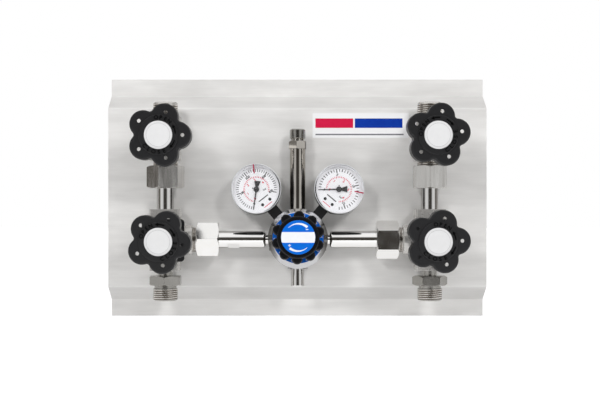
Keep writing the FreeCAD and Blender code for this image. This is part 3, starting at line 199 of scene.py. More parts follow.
metalFinishes = {
    "nickelPlate": {"dark": (0.83, 0.82, 0.80), "light": (0.95, 0.94, 0.925), "roughLow": 0.07,
                    "roughHigh": 0.16, "scale": (90.0, 90.0, 90.0), "bump": 0.05, "edge": 0.0005},
    "threadPlate": {"dark": (0.62, 0.59, 0.55), "light": (0.82, 0.80, 0.77), "roughLow": 0.12,
                    "roughHigh": 0.24, "scale": (160.0, 160.0, 160.0), "bump": 0.08, "edge": 0.0},
    # painted shade for the valleys of the threads
    "threadRootShade": {"dark": (0.08, 0.06, 0.045), "light": (0.17, 0.14, 0.11), "roughLow": 0.3,
                   "roughHigh": 0.45, "scale": (160.0, 160.0, 160.0), "bump": 0.08, "edge": 0.0},
    "castBlock": {"dark": (0.60, 0.585, 0.56), "light": (0.68, 0.665, 0.64), "roughLow": 0.22,
                  "roughHigh": 0.3, "scale": (80.0, 80.0, 80.0), "bump": 0.01, "edge": 0.0006,
                  "metallic": 0.6},
    "dullPlate": {"dark": (0.33, 0.32, 0.30), "light": (0.42, 0.41, 0.385), "roughLow": 0.16,
                  "roughHigh": 0.24, "scale": (60.0, 60.0, 60.0), "bump": 0.01, "edge": 0.0005},
    "scuffedPlate": {"dark": (0.46, 0.445, 0.42), "light": (0.86, 0.85, 0.83), "roughLow": 0.12,
                     "roughHigh": 0.24, "scale": (230.0, 230.0, 24.0), "bump": 0.05, "edge": 0.0005},
    # the rim tints below darken the reflection at grazing edges: painted shade along the rims
    "warmPlate": {"dark": (0.52, 0.49, 0.445), "light": (0.72, 0.69, 0.645), "roughLow": 0.03,
                  "roughHigh": 0.08, "scale": (70.0, 70.0, 70.0), "bump": 0.03, "edge": 0.0004,
                  "paintedRimShade": (0.12, 0.11, 0.10)},
    "polishedTube": {"dark": (0.84, 0.83, 0.81), "light": (0.93, 0.925, 0.915), "roughLow": 0.05,
                     "roughHigh": 0.11, "scale": (60.0, 60.0, 60.0), "bump": 0.03, "edge": 0.0004,
                     "paintedRimShade": (0.12, 0.11, 0.10)},
    "polishedBody": {"dark": (0.50, 0.50, 0.515), "light": (0.66, 0.66, 0.675), "roughLow": 0.06,
                     "roughHigh": 0.14, "scale": (70.0, 70.0, 70.0), "bump": 0.04, "edge": 0.0006,
                     "flankShade": {"inner": 0.020, "outer": 0.029, "tint": (0.11, 0.10, 0.085)}},
    "turnedBrass": {"dark": (0.55, 0.40, 0.19), "light": (0.72, 0.55, 0.30), "roughLow": 0.22,
                    "roughHigh": 0.34, "scale": (120.0, 120.0, 120.0), "bump": 0.05, "edge": 0.0003},
    "zincScrew": {"dark": (0.42, 0.42, 0.42), "light": (0.58, 0.58, 0.57), "roughLow": 0.3,
                  "roughHigh": 0.45, "scale": (150.0, 150.0, 150.0), "bump": 0.08, "edge": 0.0003},
    "springWire": {"dark": (0.36, 0.36, 0.37), "light": (0.5, 0.5, 0.51), "roughLow": 0.28,
                   "roughHigh": 0.4, "scale": (150.0, 150.0, 150.0), "bump": 0.05, "edge": 0.0002},
}

metalNoise = {"detail": 5.0, "bumpDepth": 0.0003}


def dulledFlanks(tree, colour, flankShade):
    # painted shade and painted reflection: the metal turns darker and warmer away from the middle plane, on the
    # turned sides of the regulator
    coordinates = addNode(tree, "ShaderNodeTexCoord")
    parts = addNode(tree, "ShaderNodeSeparateXYZ", Vector=coordinates.outputs["Object"])
    away = worked(tree, "ABSOLUTE", parts.outputs["X"])
    share = remapped(tree, away, 0.0, 1.0, flankShade["inner"], flankShade["outer"])
    return mixedColour(tree, share, colour, flankShade["tint"], "MULTIPLY")


def platedMetal(name):
    finish = metalFinishes[name]
    material, tree, shader = startMaterial(name)
    noise = stretchedNoise(tree, finish["scale"], metalNoise["detail"])
    colour = mixedColour(tree, noise, finish["dark"], finish["light"])
    # the sides of the regulator body get painted shade
    if "flankShade" in finish:
        colour = dulledFlanks(tree, colour, finish["flankShade"])
    # a rim tint darkens the metal's edges as painted shade
    plug(tree, shader, Base_Color=colour,
         Roughness=remapped(tree, noise, finish["roughLow"], finish["roughHigh"]),
         Normal=bumped(tree, noise, finish["bump"], metalNoise["bumpDepth"], finish["edge"]),
         Metallic=finish.get("metallic", 1.0), Specular_Tint=(*finish.get("paintedRimShade", (1.0, 1.0, 1.0)), 1.0))
    return material


plasticFinishes = {
    "blackPlastic": {"dark": (0.006, 0.006, 0.007), "light": (0.014, 0.014, 0.015), "rough": 0.42,
                     "scale": 900.0, "bump": 0.10, "edge": 0.0006, "gloss": 0.4},
    "knobBlack": {"dark": (0.003, 0.003, 0.004), "light": (0.008, 0.008, 0.009), "rough": 0.25,
                  "scale": 700.0, "bump": 0.05, "edge": 0.0005, "gloss": 0.3},
    # painted shade: the raised letters and arrows on the wheels are darker than the wheel itself
    "raisedLetterShade": {"dark": (0.001, 0.001, 0.001), "light": (0.003, 0.003, 0.003), "rough": 0.5,
                    "scale": 900.0, "bump": 0.05, "edge": 0.0, "gloss": 0.05},
    "gaugeBlack": {"dark": (0.010, 0.010, 0.011), "light": (0.020, 0.020, 0.021), "rough": 0.34,
                   "scale": 500.0, "bump": 0.05, "edge": 0.0004},
    "whitePlastic": {"dark": (0.69, 0.69, 0.695), "light": (0.74, 0.74, 0.745), "rough": 0.34,
                     "scale": 200.0, "bump": 0.02, "edge": 0.0004},
    # grey painted shade for the fine line on the white cap
    "capLineShade": {"dark": (0.46, 0.46, 0.47), "light": (0.52, 0.52, 0.53), "rough": 0.4,
                "scale": 200.0, "bump": 0.02, "edge": 0.0},
    "coverRim": {"dark": (0.66, 0.67, 0.69), "light": (0.76, 0.77, 0.79), "rough": 0.22,
                 "scale": 120.0, "bump": 0.02, "edge": 0.0003},
    "dialEnamel": {"dark": (0.84, 0.84, 0.86), "light": (0.89, 0.89, 0.91), "rough": 0.5,
                   "scale": 300.0, "bump": 0.02, "edge": 0.0},
    "blackPrint": {"dark": (0.004, 0.004, 0.005), "light": (0.010, 0.010, 0.012), "rough": 0.5,
                   "scale": 300.0, "bump": 0.0, "edge": 0.0, "gloss": 0.2},
    "redPrint": {"dark": (0.58, 0.008, 0.05), "light": (0.68, 0.014, 0.07), "rough": 0.5,
                 "scale": 300.0, "bump": 0.0, "edge": 0.0, "gloss": 0.15},
    "redPointer": {"dark": (0.36, 0.006, 0.05), "light": (0.46, 0.012, 0.07), "rough": 0.35,
                   "scale": 300.0, "bump": 0.02, "edge": 0.0002},
    "bluePlastic": {"dark": (0.001, 0.115, 0.58), "light": (0.003, 0.16, 0.70), "rough": 0.28,
                    "scale": 200.0, "bump": 0.02, "edge": 0.0003, "gloss": 0.15},
    "bluePrint": {"dark": (0.002, 0.03, 0.30), "light": (0.004, 0.045, 0.38), "rough": 0.4,
                  "scale": 300.0, "bump": 0.0, "edge": 0.0, "gloss": 0.15},
    "greyPrint": {"dark": (0.16, 0.16, 0.18), "light": (0.22, 0.22, 0.24), "rough": 0.5,
                  "scale": 300.0, "bump": 0.0, "edge": 0.0},
    "whitePrint": {"dark": (0.80, 0.81, 0.84), "light": (0.88, 0.89, 0.92), "rough": 0.4,
                   "scale": 300.0, "bump": 0.0, "edge": 0.0},
    "labelFilm": {"dark": (0.86, 0.86, 0.87), "light": (0.91, 0.91, 0.92), "rough": 0.35,
                  "scale": 60.0, "bump": 0.02, "edge": 0.0},
    "sealRubber": {"dark": (0.012, 0.012, 0.012), "light": (0.03, 0.03, 0.03), "rough": 0.7,
                   "scale": 400.0, "bump": 0.1, "edge": 0.0},
}

plasticNoise = {"detail": 4.0, "bumpDepth": 0.0001}


def mouldedPlastic(name):
    finish = plasticFinishes[name]
    material, tree, shader = startMaterial(name)
    noise = stretchedNoise(tree, (finish["scale"],) * 3, plasticNoise["detail"])
    plug(tree, shader, Base_Color=mixedColour(tree, noise, finish["dark"], finish["light"]),
         Roughness=finish["rough"], Specular_IOR_Level=finish.get("gloss", 0.5))
    if finish["bump"] > 0.0:
        plug(tree, shader,
             Normal=bumped(tree, noise, finish["bump"], plasticNoise["bumpDepth"], finish["edge"]))
    return material


coverFinish = {"clear": (0.96, 0.97, 0.98), "dim": 0.97, "haze": (40.0, 40.0, 40.0), "detail": 3.0,
               "rough": 0.06, "cover": 0.03}


def clearCover():
    # a thin clear window; its alpha keeps the dial bright under it
    finish = coverFinish
    material, tree, shader = startMaterial("clearCover")
    haze = stretchedNoise(tree, finish["haze"], finish["detail"])
    dim = tuple(value * finish["dim"] for value in finish["clear"])
    plug(tree, shader, Base_Color=mixedColour(tree, haze, dim, finish["clear"]), Roughness=finish["rough"],
         Alpha=finish["cover"])
    return material


materials = {"brushedPanel": brushedPanel(), "clearCover": clearCover()}
for name in metalFinishes:
    materials[name] = platedMetal(name)
for name in plasticFinishes:
    materials[name] = mouldedPlastic(name)
print("materials made")

# Every solid of the frame gets its finish by the slot that the record gives it.
slotFinish = {
    "panel_steel": "brushedPanel", "label": "labelFilm", "screw_steel": "zincScrew",
    "plated_brass": "nickelPlate", "tube_chrome": "polishedTube", "black_plastic": "blackPlastic",
    "white_plastic": "whitePlastic", "brass": "turnedBrass", "regulator_chrome": "polishedBody",
    "gauge_black": "gaugeBlack", "dial_white": "dialEnamel", "pointer_black": "blackPrint",
    "clear_cover": "clearCover", "spring_steel": "springWire", "diaphragm_rubber": "sealRubber",
    "blue_plastic": "bluePlastic",
}
# These nodes differ from the rest of their slot.
nodeFinish = {
    "regulator_knob": "knobBlack", "relief_valve_body": "warmPlate", "relief_valve_cap": "dullPlate",
    **{f"{valve}_valve_body": "castBlock" for valve in valveNames},
    **{f"{side}_inlet_fitting": "dullPlate" for side in gaugeSides},
    **{f"{side}_riser_union_nut": "scuffedPlate" for side in gaugeSides},
}
for entry in frame["record"]["subparts"]:
    solid = frame["nodes"][entry["node"]]
    finish = nodeFinish.get(entry["node"], slotFinish[entry["material_slot"]])
    for holder in solid.material_slots:
        holder.material = materials[finish]
print("frame solids finished")


# Making pieces

mergeDistance = 0.001 * mm


def finishPiece(name, mesh, finish, body, place, smoothAngle=30.0):
    # takes a bmesh, puts it in its place in the frame and hangs it on its body
    bmesh.ops.remove_doubles(mesh, verts=mesh.verts, dist=mergeDistance)
    bmesh.ops.recalc_face_normals(mesh, faces=mesh.faces)
    data = bpy.data.meshes.new(name)
    mesh.to_mesh(data)
    mesh.free()
    data.transform(place)
    for polygon in data.polygons:
        polygon.use_smooth = True
    data.set_sharp_from_angle(angle=math.radians(smoothAngle))
    data.materials.append(materials[finish])
    piece = bpy.data.objects.new(name, data)
    bpy.context.scene.collection.objects.link(piece)
    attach(piece, body)
    return piece


def addBar(mesh, centre, length, width, height, degrees):
    # a flat bar that runs along the given direction
    made = bmesh.ops.create_cube(mesh, size=1.0)
    place = Matrix.Translation(centre) @ turned(degrees) @ Matrix.Diagonal((length, width, height, 1.0))
    bmesh.ops.transform(mesh, matrix=place, verts=made["verts"])


def addDisc(mesh, centre, radius, height, segments=24):
    made = bmesh.ops.create_cone(mesh, cap_ends=True, segments=segments, radius1=radius,
                                 radius2=radius, depth=height)
    bmesh.ops.translate(mesh, vec=centre, verts=made["verts"])


def addArc(mesh, inner, outer, start, end, level, height, steps=48, breadth=None):
    # a flat band along an arc; breadth gives the share of its width from start to end
    known = set(mesh.verts)
    ends = [mesh.verts.new(polar(radius, start, level)) for radius in (inner, outer)]
    edge = mesh.edges.new(ends)
    bmesh.ops.spin(mesh, geom=ends + [edge], cent=(0.0, 0.0, 0.0), axis=(0.0, 0.0, 1.0),
                   angle=math.radians(end - start), steps=steps, use_merge=False)
    fresh = {vert for vert in mesh.verts if vert not in known}
    faces = [face for face in mesh.faces if all(vert in fresh for vert in face.verts)]
    if breadth is not None:
        sign = 1.0 if end > start else -1.0
        middle = (inner + outer) / 2
        for vert in fresh:
            degrees = math.degrees(math.atan2(vert.co.y, vert.co.x))
            # a degree of slack keeps the start from counting as a whole turn
            travelled = (sign * (degrees - start) + 1.0) % 360.0 - 1.0
            share = breadth(travelled / abs(end - start))
            radius = middle + (vert.co.xy.length - middle) * share
            vert.co = polar(radius, degrees, level)
    raised = bmesh.ops.extrude_face_region(mesh, geom=faces)
    newVerts = [item for item in raised["geom"] if isinstance(item, bmesh.types.BMVert)]
    bmesh.ops.translate(mesh, vec=(0.0, 0.0, height), verts=newVerts)


def addText(mesh, words, size, height, place, weight=0.0):
    curve = bpy.data.curves.new("words", "FONT")
    curve.body = words
    curve.size = size
    curve.offset = weight
    curve.align_x = "CENTER"
    curve.align_y = "CENTER"
    curve.extrude = height / 2
    holder = bpy.data.objects.new("words", curve)
    bpy.context.scene.collection.objects.link(holder)
    bpy.context.view_layer.update()
    data = bpy.data.meshes.new_from_object(holder)
    data.transform(place)
    mesh.from_mesh(data)
    bpy.data.objects.remove(holder)
    bpy.data.meshes.remove(data)
    bpy.data.curves.remove(curve)


def lettersOnArc(mesh, words, style, middle, spacing, level, inwards=False):
    # letters one by one round an arc, with their tops outwards or inwards
    for index, letter in enumerate(words):
        step = (index - (len(words) - 1) / 2) * spacing
        angle = middle + step if inwards else middle - step
        lean = angle + 90.0 if inwards else angle - 90.0
        place = Matrix.Translation(polar(style["radius"], angle, level)) @ turned(lean)
        addText(mesh, letter, style["size"], style["height"], place, style["weight"])


def turnProfile(mesh, corners, segments=64):
    # turns a closed profile of radius and level about Z
    points = [mesh.verts.new((radius, 0.0, level)) for radius, level in corners]
    edges = [mesh.edges.new((points[index - 1], points[index])) for index in range(len(points))]
    bmesh.ops.spin(mesh, geom=points + edges, cent=(0.0, 0.0, 0.0), axis=(0.0, 0.0, 1.0),
                   angle=math.tau, steps=segments, use_merge=True)


# Threads: a ridge wound round each plain cylinder of the frame

threadShape = {"floor": 13.16 * mm, "root": 13.26 * mm, "crest": 13.62 * mm, "pitch": 2.2 * mm,
               "rootShare": 0.36, "crestShare": 0.2, "steps": 36, "smoothAngle": 25.0,
               "leadIn": 1.1 * mm, "vent": 15.0 * mm, "riser": 5.4 * mm, "inlet": 13.2 * mm,
               "feed": 5.0 * mm, "finePitch": 1.5 * mm}


def woundRidge(name, corners, finish, place, turns, pitch):
    # winds a four-cornered profile of radius and pitch share along Z
    shape = threadShape
    mesh = bmesh.new()
    points = [mesh.verts.new((radius, 0.0, share * pitch)) for radius, share in corners]
    edges = [mesh.edges.new((points[index - 1], points[index])) for index in range(len(points))]
    end = mesh.faces.new(points)
    steps = int(turns * shape["steps"])
    bmesh.ops.spin(mesh, geom=points + edges + [end], cent=(0.0, 0.0, 0.0), axis=(0.0, 0.0, 1.0),
                   dvec=(0.0, 0.0, pitch / shape["steps"]), angle=math.tau * steps / shape["steps"],
                   steps=steps, use_merge=False)
    finishPiece(name, mesh, finish, rootBody, place, shape["smoothAngle"])


def woundThread(name, start, direction, length, pitch):
    # a bright ridge beside a dark root, round one plain cylinder; the dark root is painted shade in the thread's
    # valley
    shape = threadShape
    along = Vector(direction).to_track_quat("Z", "Y").to_matrix().to_4x4()
    place = Matrix.Translation(Vector(start)) @ along
    turns = length / pitch - 1.0
    foot = shape["rootShare"]
    middle = (1.0 + foot) / 2
    half = shape["crestShare"] / 2
    woundRidge(f"{name}_root", [(shape["floor"], 0.0), (shape["root"], 0.0), (shape["root"], foot),
                                (shape["floor"], foot)], "threadRootShade", place, turns, pitch)
    woundRidge(f"{name}_ridge", [(shape["floor"], foot), (shape["crest"], middle - half),
                                 (shape["crest"], middle + half), (shape["floor"], 1.0)],
               "threadPlate", place, turns, pitch)


def makeThreads():
    shape = threadShape
    pitch = shape["pitch"]
    up = (0.0, 0.0, 1.0)
    for side, outwards in zip(gaugeSides, (-1.0, 1.0)):
        blockLow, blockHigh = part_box(f"upper_{side}_valve_body")
        nutLow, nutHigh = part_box(f"{side}_riser_union_nut")
        across = (blockLow.x + blockHigh.x) / 2
        depth = (nutLow.y + nutHigh.y) / 2
        woundThread(f"{side}_vent_thread", (across, depth, blockHigh.z - shape["vent"]), up,
                    shape["vent"] - shape["leadIn"], pitch)
        woundThread(f"{side}_riser_thread", (across, depth, nutHigh.z), up, shape["riser"], pitch)
        fittingLow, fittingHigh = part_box(f"{side}_inlet_fitting")
        woundThread(f"{side}_inlet_thread", (across, depth, fittingLow.z + shape["leadIn"]), up,
                    shape["inlet"] - shape["leadIn"], pitch)
        nutLow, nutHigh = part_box(f"{side}_feed_union_nut")
        middle = (nutLow + nutHigh) / 2
        nutEnd = nutLow.x if side == "left" else nutHigh.x
        woundThread(f"{side}_feed_thread", (nutEnd, middle.y, middle.z), (outwards, 0.0, 0.0),
                    shape["feed"], shape["finePitch"])


makeThreads()
print("threads wound")

# Handwheels: lettering and arrows on the raised ring, and the fine line of the cap

wheelPrint = {"radius": 17.9 * mm, "size": 5.7 * mm, "height": 0.8 * mm, "sunk": 0.2 * mm,
              "weight": 0.12 * mm, "open": 73.0, "openSpacing": 15.5, "openArrow": (4.0, 28.0),
              "close": -105.0, "closeSpacing": 18.0, "closeArrow": (-18.0, -42.0),
              "arrowWidth": 1.3 * mm, "headSize": 2.2 * mm, "arrowSteps": 16}
# how far each wheel's lettering is turned at rest
wheelPhase = {"upper_left": 0.0, "upper_right": 80.5, "lower_left": 65.0, "lower_right": 2.5}


def addArrow(mesh, start, end, style):
    # a bent arrow whose head is at its end
    radius = style["radius"]
    half = style["arrowWidth"] / 2
    addArc(mesh, radius - half, radius + half, start, end, -style["sunk"], style["height"],
           style["arrowSteps"])
    made = bmesh.ops.create_cone(mesh, cap_ends=True, segments=3, radius1=style["headSize"],
                                 radius2=style["headSize"], depth=style["height"])
    heading = end + 90.0 if end > start else end - 90.0
    spot = Matrix.Translation(polar(radius, end, style["height"] / 2 - style["sunk"]))
    # the cone's first corner lies on Y, so a quarter turn back sets it along the heading
    bmesh.ops.transform(mesh, matrix=spot @ turned(heading - 90.0), verts=made["verts"])


def makeWheelPrint(valve):
    style = wheelPrint
    body = f"{valve}_spindle_and_wheel"
    place = facingJoint(f"{valve}_handwheel_turn", wheelPhase[valve])
    level = style["height"] / 2 - style["sunk"]
    # the raised letters and arrows are coloured darker than the wheel as painted shade
    letters = bmesh.new()
    lettersOnArc(letters, "OPEN", style, style["open"], style["openSpacing"], level)
    lettersOnArc(letters, "CLOSE", style, style["close"], style["closeSpacing"], level, inwards=True)
    finishPiece(f"{valve}_wheel_letters", letters, "raisedLetterShade", body, place)
    arrows = bmesh.new()
    addArrow(arrows, *style["openArrow"], style)
    addArrow(arrows, *style["closeArrow"], style)
    finishPiece(f"{valve}_wheel_arrows", arrows, "raisedLetterShade", body, place)


capLine = {"inner": 11.9 * mm, "outer": 12.3 * mm, "back": 0.4 * mm, "front": 0.74 * mm}


def makeCapLine(valve):
    # the fine line near the edge of the white cap: a low raised ring, its grey being painted shade
    style = capLine
    mesh = bmesh.new()
    turnProfile(mesh, [(style["inner"], style["back"]), (style["outer"], style["back"]),
                       (style["outer"], style["front"]), (style["inner"], style["front"])])
    finishPiece(f"{valve}_cap_line", mesh, "capLineShade", f"{valve}_spindle_and_wheel",
                facingJoint(f"{valve}_handwheel_turn"))


for valve in valveNames:
    makeWheelPrint(valve)
    makeCapLine(valve)
print("handwheels lettered")

# Regulator: print on the knob's round label and marks on the scale ring

knobPlace = facingJoint("pressure_knob_turn")

knobPrint = {"radius": 17.7 * mm, "bandHalf": 5.55 * mm, "thickness": 0.06 * mm, "swoosh": 14.2 * mm,
             "swooshHalf": 1.35 * mm, "thin": 0.12, "swooshes": ((135.0, 48.0), (-49.0, -128.0)),
             "signRadius": 12.3 * mm, "minusAngle": 41.6, "plusAngle": -137.0, "signLength": 2.6 * mm,
             "signWidth": 0.9 * mm, "segments": 96}


def growing(share):
    # the swooshes swell from a thin start to their full width
    return knobPrint["thin"] + (1.0 - knobPrint["thin"]) * share


def makeKnobPrint():
    style = knobPrint
    body = "pressure_knob"
    thick = style["thickness"]
    band = bmesh.new()
    bmesh.ops.create_circle(band, cap_ends=True, segments=style["segments"], radius=style["radius"])
    for side in (1.0, -1.0):
        bmesh.ops.bisect_plane(band, geom=band.verts[:] + band.edges[:] + band.faces[:],
                               plane_co=(0.0, style["bandHalf"] * side, 0.0), plane_no=(0.0, side, 0.0),
                               clear_outer=True)
    raised = bmesh.ops.extrude_face_region(band, geom=band.faces[:])
    bmesh.ops.translate(band, vec=(0.0, 0.0, thick),
                        verts=[item for item in raised["geom"] if isinstance(item, bmesh.types.BMVert)])
    finishPiece("knob_white_band", band, "whitePrint", body, knobPlace)
    marks = bmesh.new()
    inner = style["swoosh"] - style["swooshHalf"]
    outer = style["swoosh"] + style["swooshHalf"]
    for start, end in style["swooshes"]:
        addArc(marks, inner, outer, start, end, 0.0, thick, breadth=growing)
    for angle, bars in ((style["minusAngle"], (0.0,)), (style["plusAngle"], (0.0, 90.0))):
        for degrees in bars:
            addBar(marks, polar(style["signRadius"], angle, thick / 2), style["signLength"],
                   style["signWidth"], thick, degrees)
    finishPiece("knob_turn_marks", marks, "whitePrint", body, knobPlace)


makeKnobPrint()

ringPrint = {"level": -18.4 * mm, "radius": 24.7 * mm, "size": 3.0 * mm, "thickness": 0.06 * mm,
             "first": -106.0, "count": 10, "weight": 0.06 * mm}


def makeRingPrint():
    style = ringPrint
    mesh = bmesh.new()
    for index in range(style["count"]):
        angle = style["first"] + index * 360.0 / style["count"]
        place = Matrix.Translation(polar(style["radius"], angle, style["level"] + style["thickness"] / 2))
        addText(mesh, str(index), style["size"], style["thickness"], place @ turned(angle + 90.0),
                style["weight"])
    finishPiece("scale_ring_numbers", mesh, "whitePrint", rootBody, knobPlace)


makeRingPrint()
print("regulator printed")

# Range spring: a coil in place of the rigid one

rangeSpring = {"wireRadius": 1.25 * mm, "coilRadius": 14.0 * mm, "turns": 3.5, "turnSteps": 32,
               "wireSides": 12}


def makeSpring():
    style = rangeSpring
    inwards = knobPlace.inverted()
    levels = [(inwards @ vertex.co).z for vertex in frame["nodes"]["range_spring"].data.vertices]
    back = min(levels)
    length = max(levels) - back
    steps = int(style["turns"] * style["turnSteps"])
    mesh = bmesh.new()
    section = Matrix.Translation((style["coilRadius"], 0.0, 0.0)) @ turned(90.0, "X")
    bmesh.ops.create_circle(mesh, cap_ends=True, segments=style["wireSides"], radius=style["wireRadius"],
                            matrix=section)
    bmesh.ops.spin(mesh, geom=mesh.verts[:] + mesh.edges[:] + mesh.faces[:], cent=(0.0, 0.0, 0.0),
                   axis=(0.0, 0.0, 1.0), dvec=(0.0, 0.0, (length - 2 * style["wireRadius"]) / steps),
                   angle=math.tau * style["turns"], steps=steps, use_merge=False)
    piece = finishPiece("range_spring_coil", mesh, slotFinish["spring_steel"], rootBody,
                        knobPlace @ Matrix.Translation((0.0, 0.0, back + style["wireRadius"])))
    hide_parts("range_spring")
    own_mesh(piece)


makeSpring()
print("spring wound")

# Gauges: scales, numbers, limit marks and the clear cover. Levels run from the pointer's joint.

gaugeDials = {
    "left": {"zero": -98.0, "sweep": 270.0, "top": 400, "minor": 10, "middle": 50, "major": 100,
             "lean": 38.0, "limit": 96.9, "inner": 5, "innerStep": 54.0, "shadow": (-72.0, 56.0)},
    "right": {"zero": 180.8, "sweep": 270.0, "top": 16, "minor": 0.5, "middle": 1, "major": 5,
              "lean": -40.0, "limit": -10.6, "inner": 5, "innerStep": 61.0, "shadow": (150.0, 235.0)},
}
dialStyle = {
    "level": -1.5 * mm, "print": 0.06 * mm, "outer": 22.2 * mm, "minor": 3.0 * mm, "major": 4.6 * mm,
    "minorWidth": 0.7 * mm, "majorWidth": 1.0 * mm, "numbers": 15.9 * mm, "numberSize": 3.5 * mm,
    "weight": 0.14 * mm, "redOuter": 14.3 * mm, "redLong": 2.2 * mm, "redShort": 1.7 * mm,
    "redWidth": 0.75 * mm, "redCount": 34, "redEvery": 5, "redNumbers": 10.2 * mm, "redSize": 3.6 * mm,
}
# across, up and sizes in millimetres
dialWords = {"unit": (7.2, -5.4, 3.0), "unitWeight": 0.06, "line": (0.0, -12.3, 12.5, 1.1),
             "redLine": (0.0, -21.0, 10.5, 0.7), "spots": (5.0, -17.4, 1.7), "dot": (-2.4, 3.3, 0.7)}
gaugeCover = {"rimInner": 26.3 * mm, "rimOuter": 27.0 * mm, "back": 5.0 * mm, "front": 10.0 * mm,
              "edge": 0.4 * mm, "window": 26.35 * mm, "windowBack": 8.0 * mm, "markInner": 16.6 * mm,
              "markOuter": 26.6 * mm, "markWidth": 1.3 * mm, "markHeight": 0.25 * mm,
              "ringInner": 24.7 * mm, "ringWall": 25.35 * mm, "ringOuter": 26.35 * mm,
              "ringHeight": 0.4 * mm, "shadowInner": 24.9 * mm, "shadowOuter": 26.3 * mm,
              "shadowHeight": 0.3 * mm, "shadowThin": 0.1, "segments": 96}


def makeDial(side):
    dial = gaugeDials[side]
    style = dialStyle
    thick = style["print"]
    place = facingJoint(f"{side}_pointer_swing")
    level = style["level"] + thick / 2
    black = bmesh.new()
    red = bmesh.new()
    count = int(round(dial["top"] / dial["minor"]))
    for index in range(count + 1):
        amount = index * dial["minor"]
        angle = dial["zero"] - dial["sweep"] * index / count
        length, width = style["minor"], style["minorWidth"]
        if amount % dial["major"] == 0:
            length, width = style["major"], style["majorWidth"]
        elif amount % dial["middle"] == 0:
            width = (style["minorWidth"] + style["majorWidth"]) / 2
        addBar(black, polar(style["outer"] - length / 2, angle, level), length, width, thick, angle)
    lean = turned(dial["lean"])
    for index in range(int(dial["top"] // dial["major"]) + 1):
        amount = index * dial["major"]
        angle = dial["zero"] - dial["sweep"] * amount / dial["top"]
        spot = Matrix.Translation(polar(style["numbers"], angle, level))
        addText(black, str(amount), style["numberSize"], thick, spot @ lean, style["weight"])
    for index in range(style["redCount"] + 1):
        angle = dial["zero"] - dial["sweep"] * index / style["redCount"]
        length = style["redLong"] if index % style["redEvery"] == 0 else style["redShort"]
        addBar(red, polar(style["redOuter"] - length / 2, angle, level), length, style["redWidth"],
               thick, angle)
    for index in range(dial["inner"]):
        angle = dial["zero"] - dial["innerStep"] * index
        spot = Matrix.Translation(polar(style["redNumbers"], angle, level))
        addText(red, str(index), style["redSize"], thick, spot @ lean, style["weight"])
    addDialWords(black, red, lean, level, thick)
    finishPiece(f"{side}_dial_black_print", black, "blackPrint", rootBody, place)
    finishPiece(f"{side}_dial_red_print", red, "redPrint", rootBody, place)


def addDialWords(black, red, lean, level, thick):
    # unit, lines and spots in the dial's own leaning frame
    def spot(across, up):
        return lean @ Vector((across * mm, up * mm, level))

    degrees = math.degrees(lean.to_euler().z)
    across, up, size = dialWords["unit"]
    addText(black, "bar", size * mm, thick, Matrix.Translation(spot(across, up)) @ lean,
            dialWords["unitWeight"] * mm)
    for mesh, line in ((black, "line"), (red, "redLine")):
        across, up, length, width = dialWords[line]
        addBar(mesh, spot(across, up), length * mm, width * mm, thick, degrees)
    across, up, radius = dialWords["spots"]
    for side in (-1.0, 1.0):
        addDisc(black, spot(across * side, up), radius * mm, thick)
    across, up, radius = dialWords["dot"]
    addDisc(black, spot(across, up), radius * mm, thick)


def makeGaugeCover(side):
    # a pale rim round a clear window, which stands for the frame's plain cover
    style = gaugeCover
    dial = gaugeDials[side]
    place = facingJoint(f"{side}_pointer_swing")
    rim = bmesh.new()
    turnProfile(rim, [(style["rimInner"], style["back"]), (style["rimOuter"], style["back"]),
                      (style["rimOuter"], style["front"] - style["edge"]),
                      (style["rimOuter"] - style["edge"], style["front"]),
                      (style["rimInner"], style["front"])], style["segments"])
    rimPiece = finishPiece(f"{side}_cover_rim", rim, "coverRim", rootBody, place)
    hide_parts(f"{side}_gauge_cover")
    window = bmesh.new()
    addDisc(window, (0.0, 0.0, (style["windowBack"] + style["front"]) / 2), style["window"],
            style["front"] - style["windowBack"], style["segments"])
    finishPiece(f"{side}_cover_window", window, "clearCover", rootBody, place)
    mark = bmesh.new()
    length = style["markOuter"] - style["markInner"]
    centre = polar((style["markInner"] + style["markOuter"]) / 2, dial["limit"],
                   style["front"] + style["markHeight"] / 2)
    addBar(mark, centre, length, style["markWidth"], style["markHeight"], dial["limit"])
    finishPiece(f"{side}_limit_mark", mark, "redPointer", rootBody, place)
    ring = bmesh.new()
    ringFront = style["back"] + style["ringHeight"]
    turnProfile(ring, [(style["ringInner"], dialStyle["level"]), (style["ringWall"], dialStyle["level"]),
                       (style["ringWall"], style["back"]), (style["ringOuter"], style["back"]),
                       (style["ringOuter"], ringFront), (style["ringInner"], ringFront)],
                style["segments"])
    finishPiece(f"{side}_cover_ring", ring, "dialEnamel", rootBody, place)
    # a dark crescent on one side inside the rim: partly the black edge of the case, partly painted shadow
    edgeAndShadow = bmesh.new()
    start, end = dial["shadow"]
    thin = style["shadowThin"]
    addArc(edgeAndShadow, style["shadowInner"], style["shadowOuter"], start, end, ringFront, style["shadowHeight"],
           breadth=lambda share: thin + (1.0 - thin) * math.sin(math.pi * share))
    finishPiece(f"{side}_cover_edge_and_shadow", edgeAndShadow, "gaugeBlack", rootBody, place)


for side in gaugeSides:
    makeDial(side)
    makeGaugeCover(side)
print("gauges printed and covered")

# Sticker on the pan: plain fields of colour

# across, up, width and height in millimetres, from the middle of the sticker
stickerFields = {"height": 0.06 * mm, "red": (-29.4, 2.6, 42.0, 10.5), "blue": (20.0, 2.6, 53.0, 10.5),
                 "line": (-1.3, -10.0, 98.0, 1.6)}
stickerFinish = {"red": "redPrint", "blue": "bluePrint", "line": "greyPrint"}


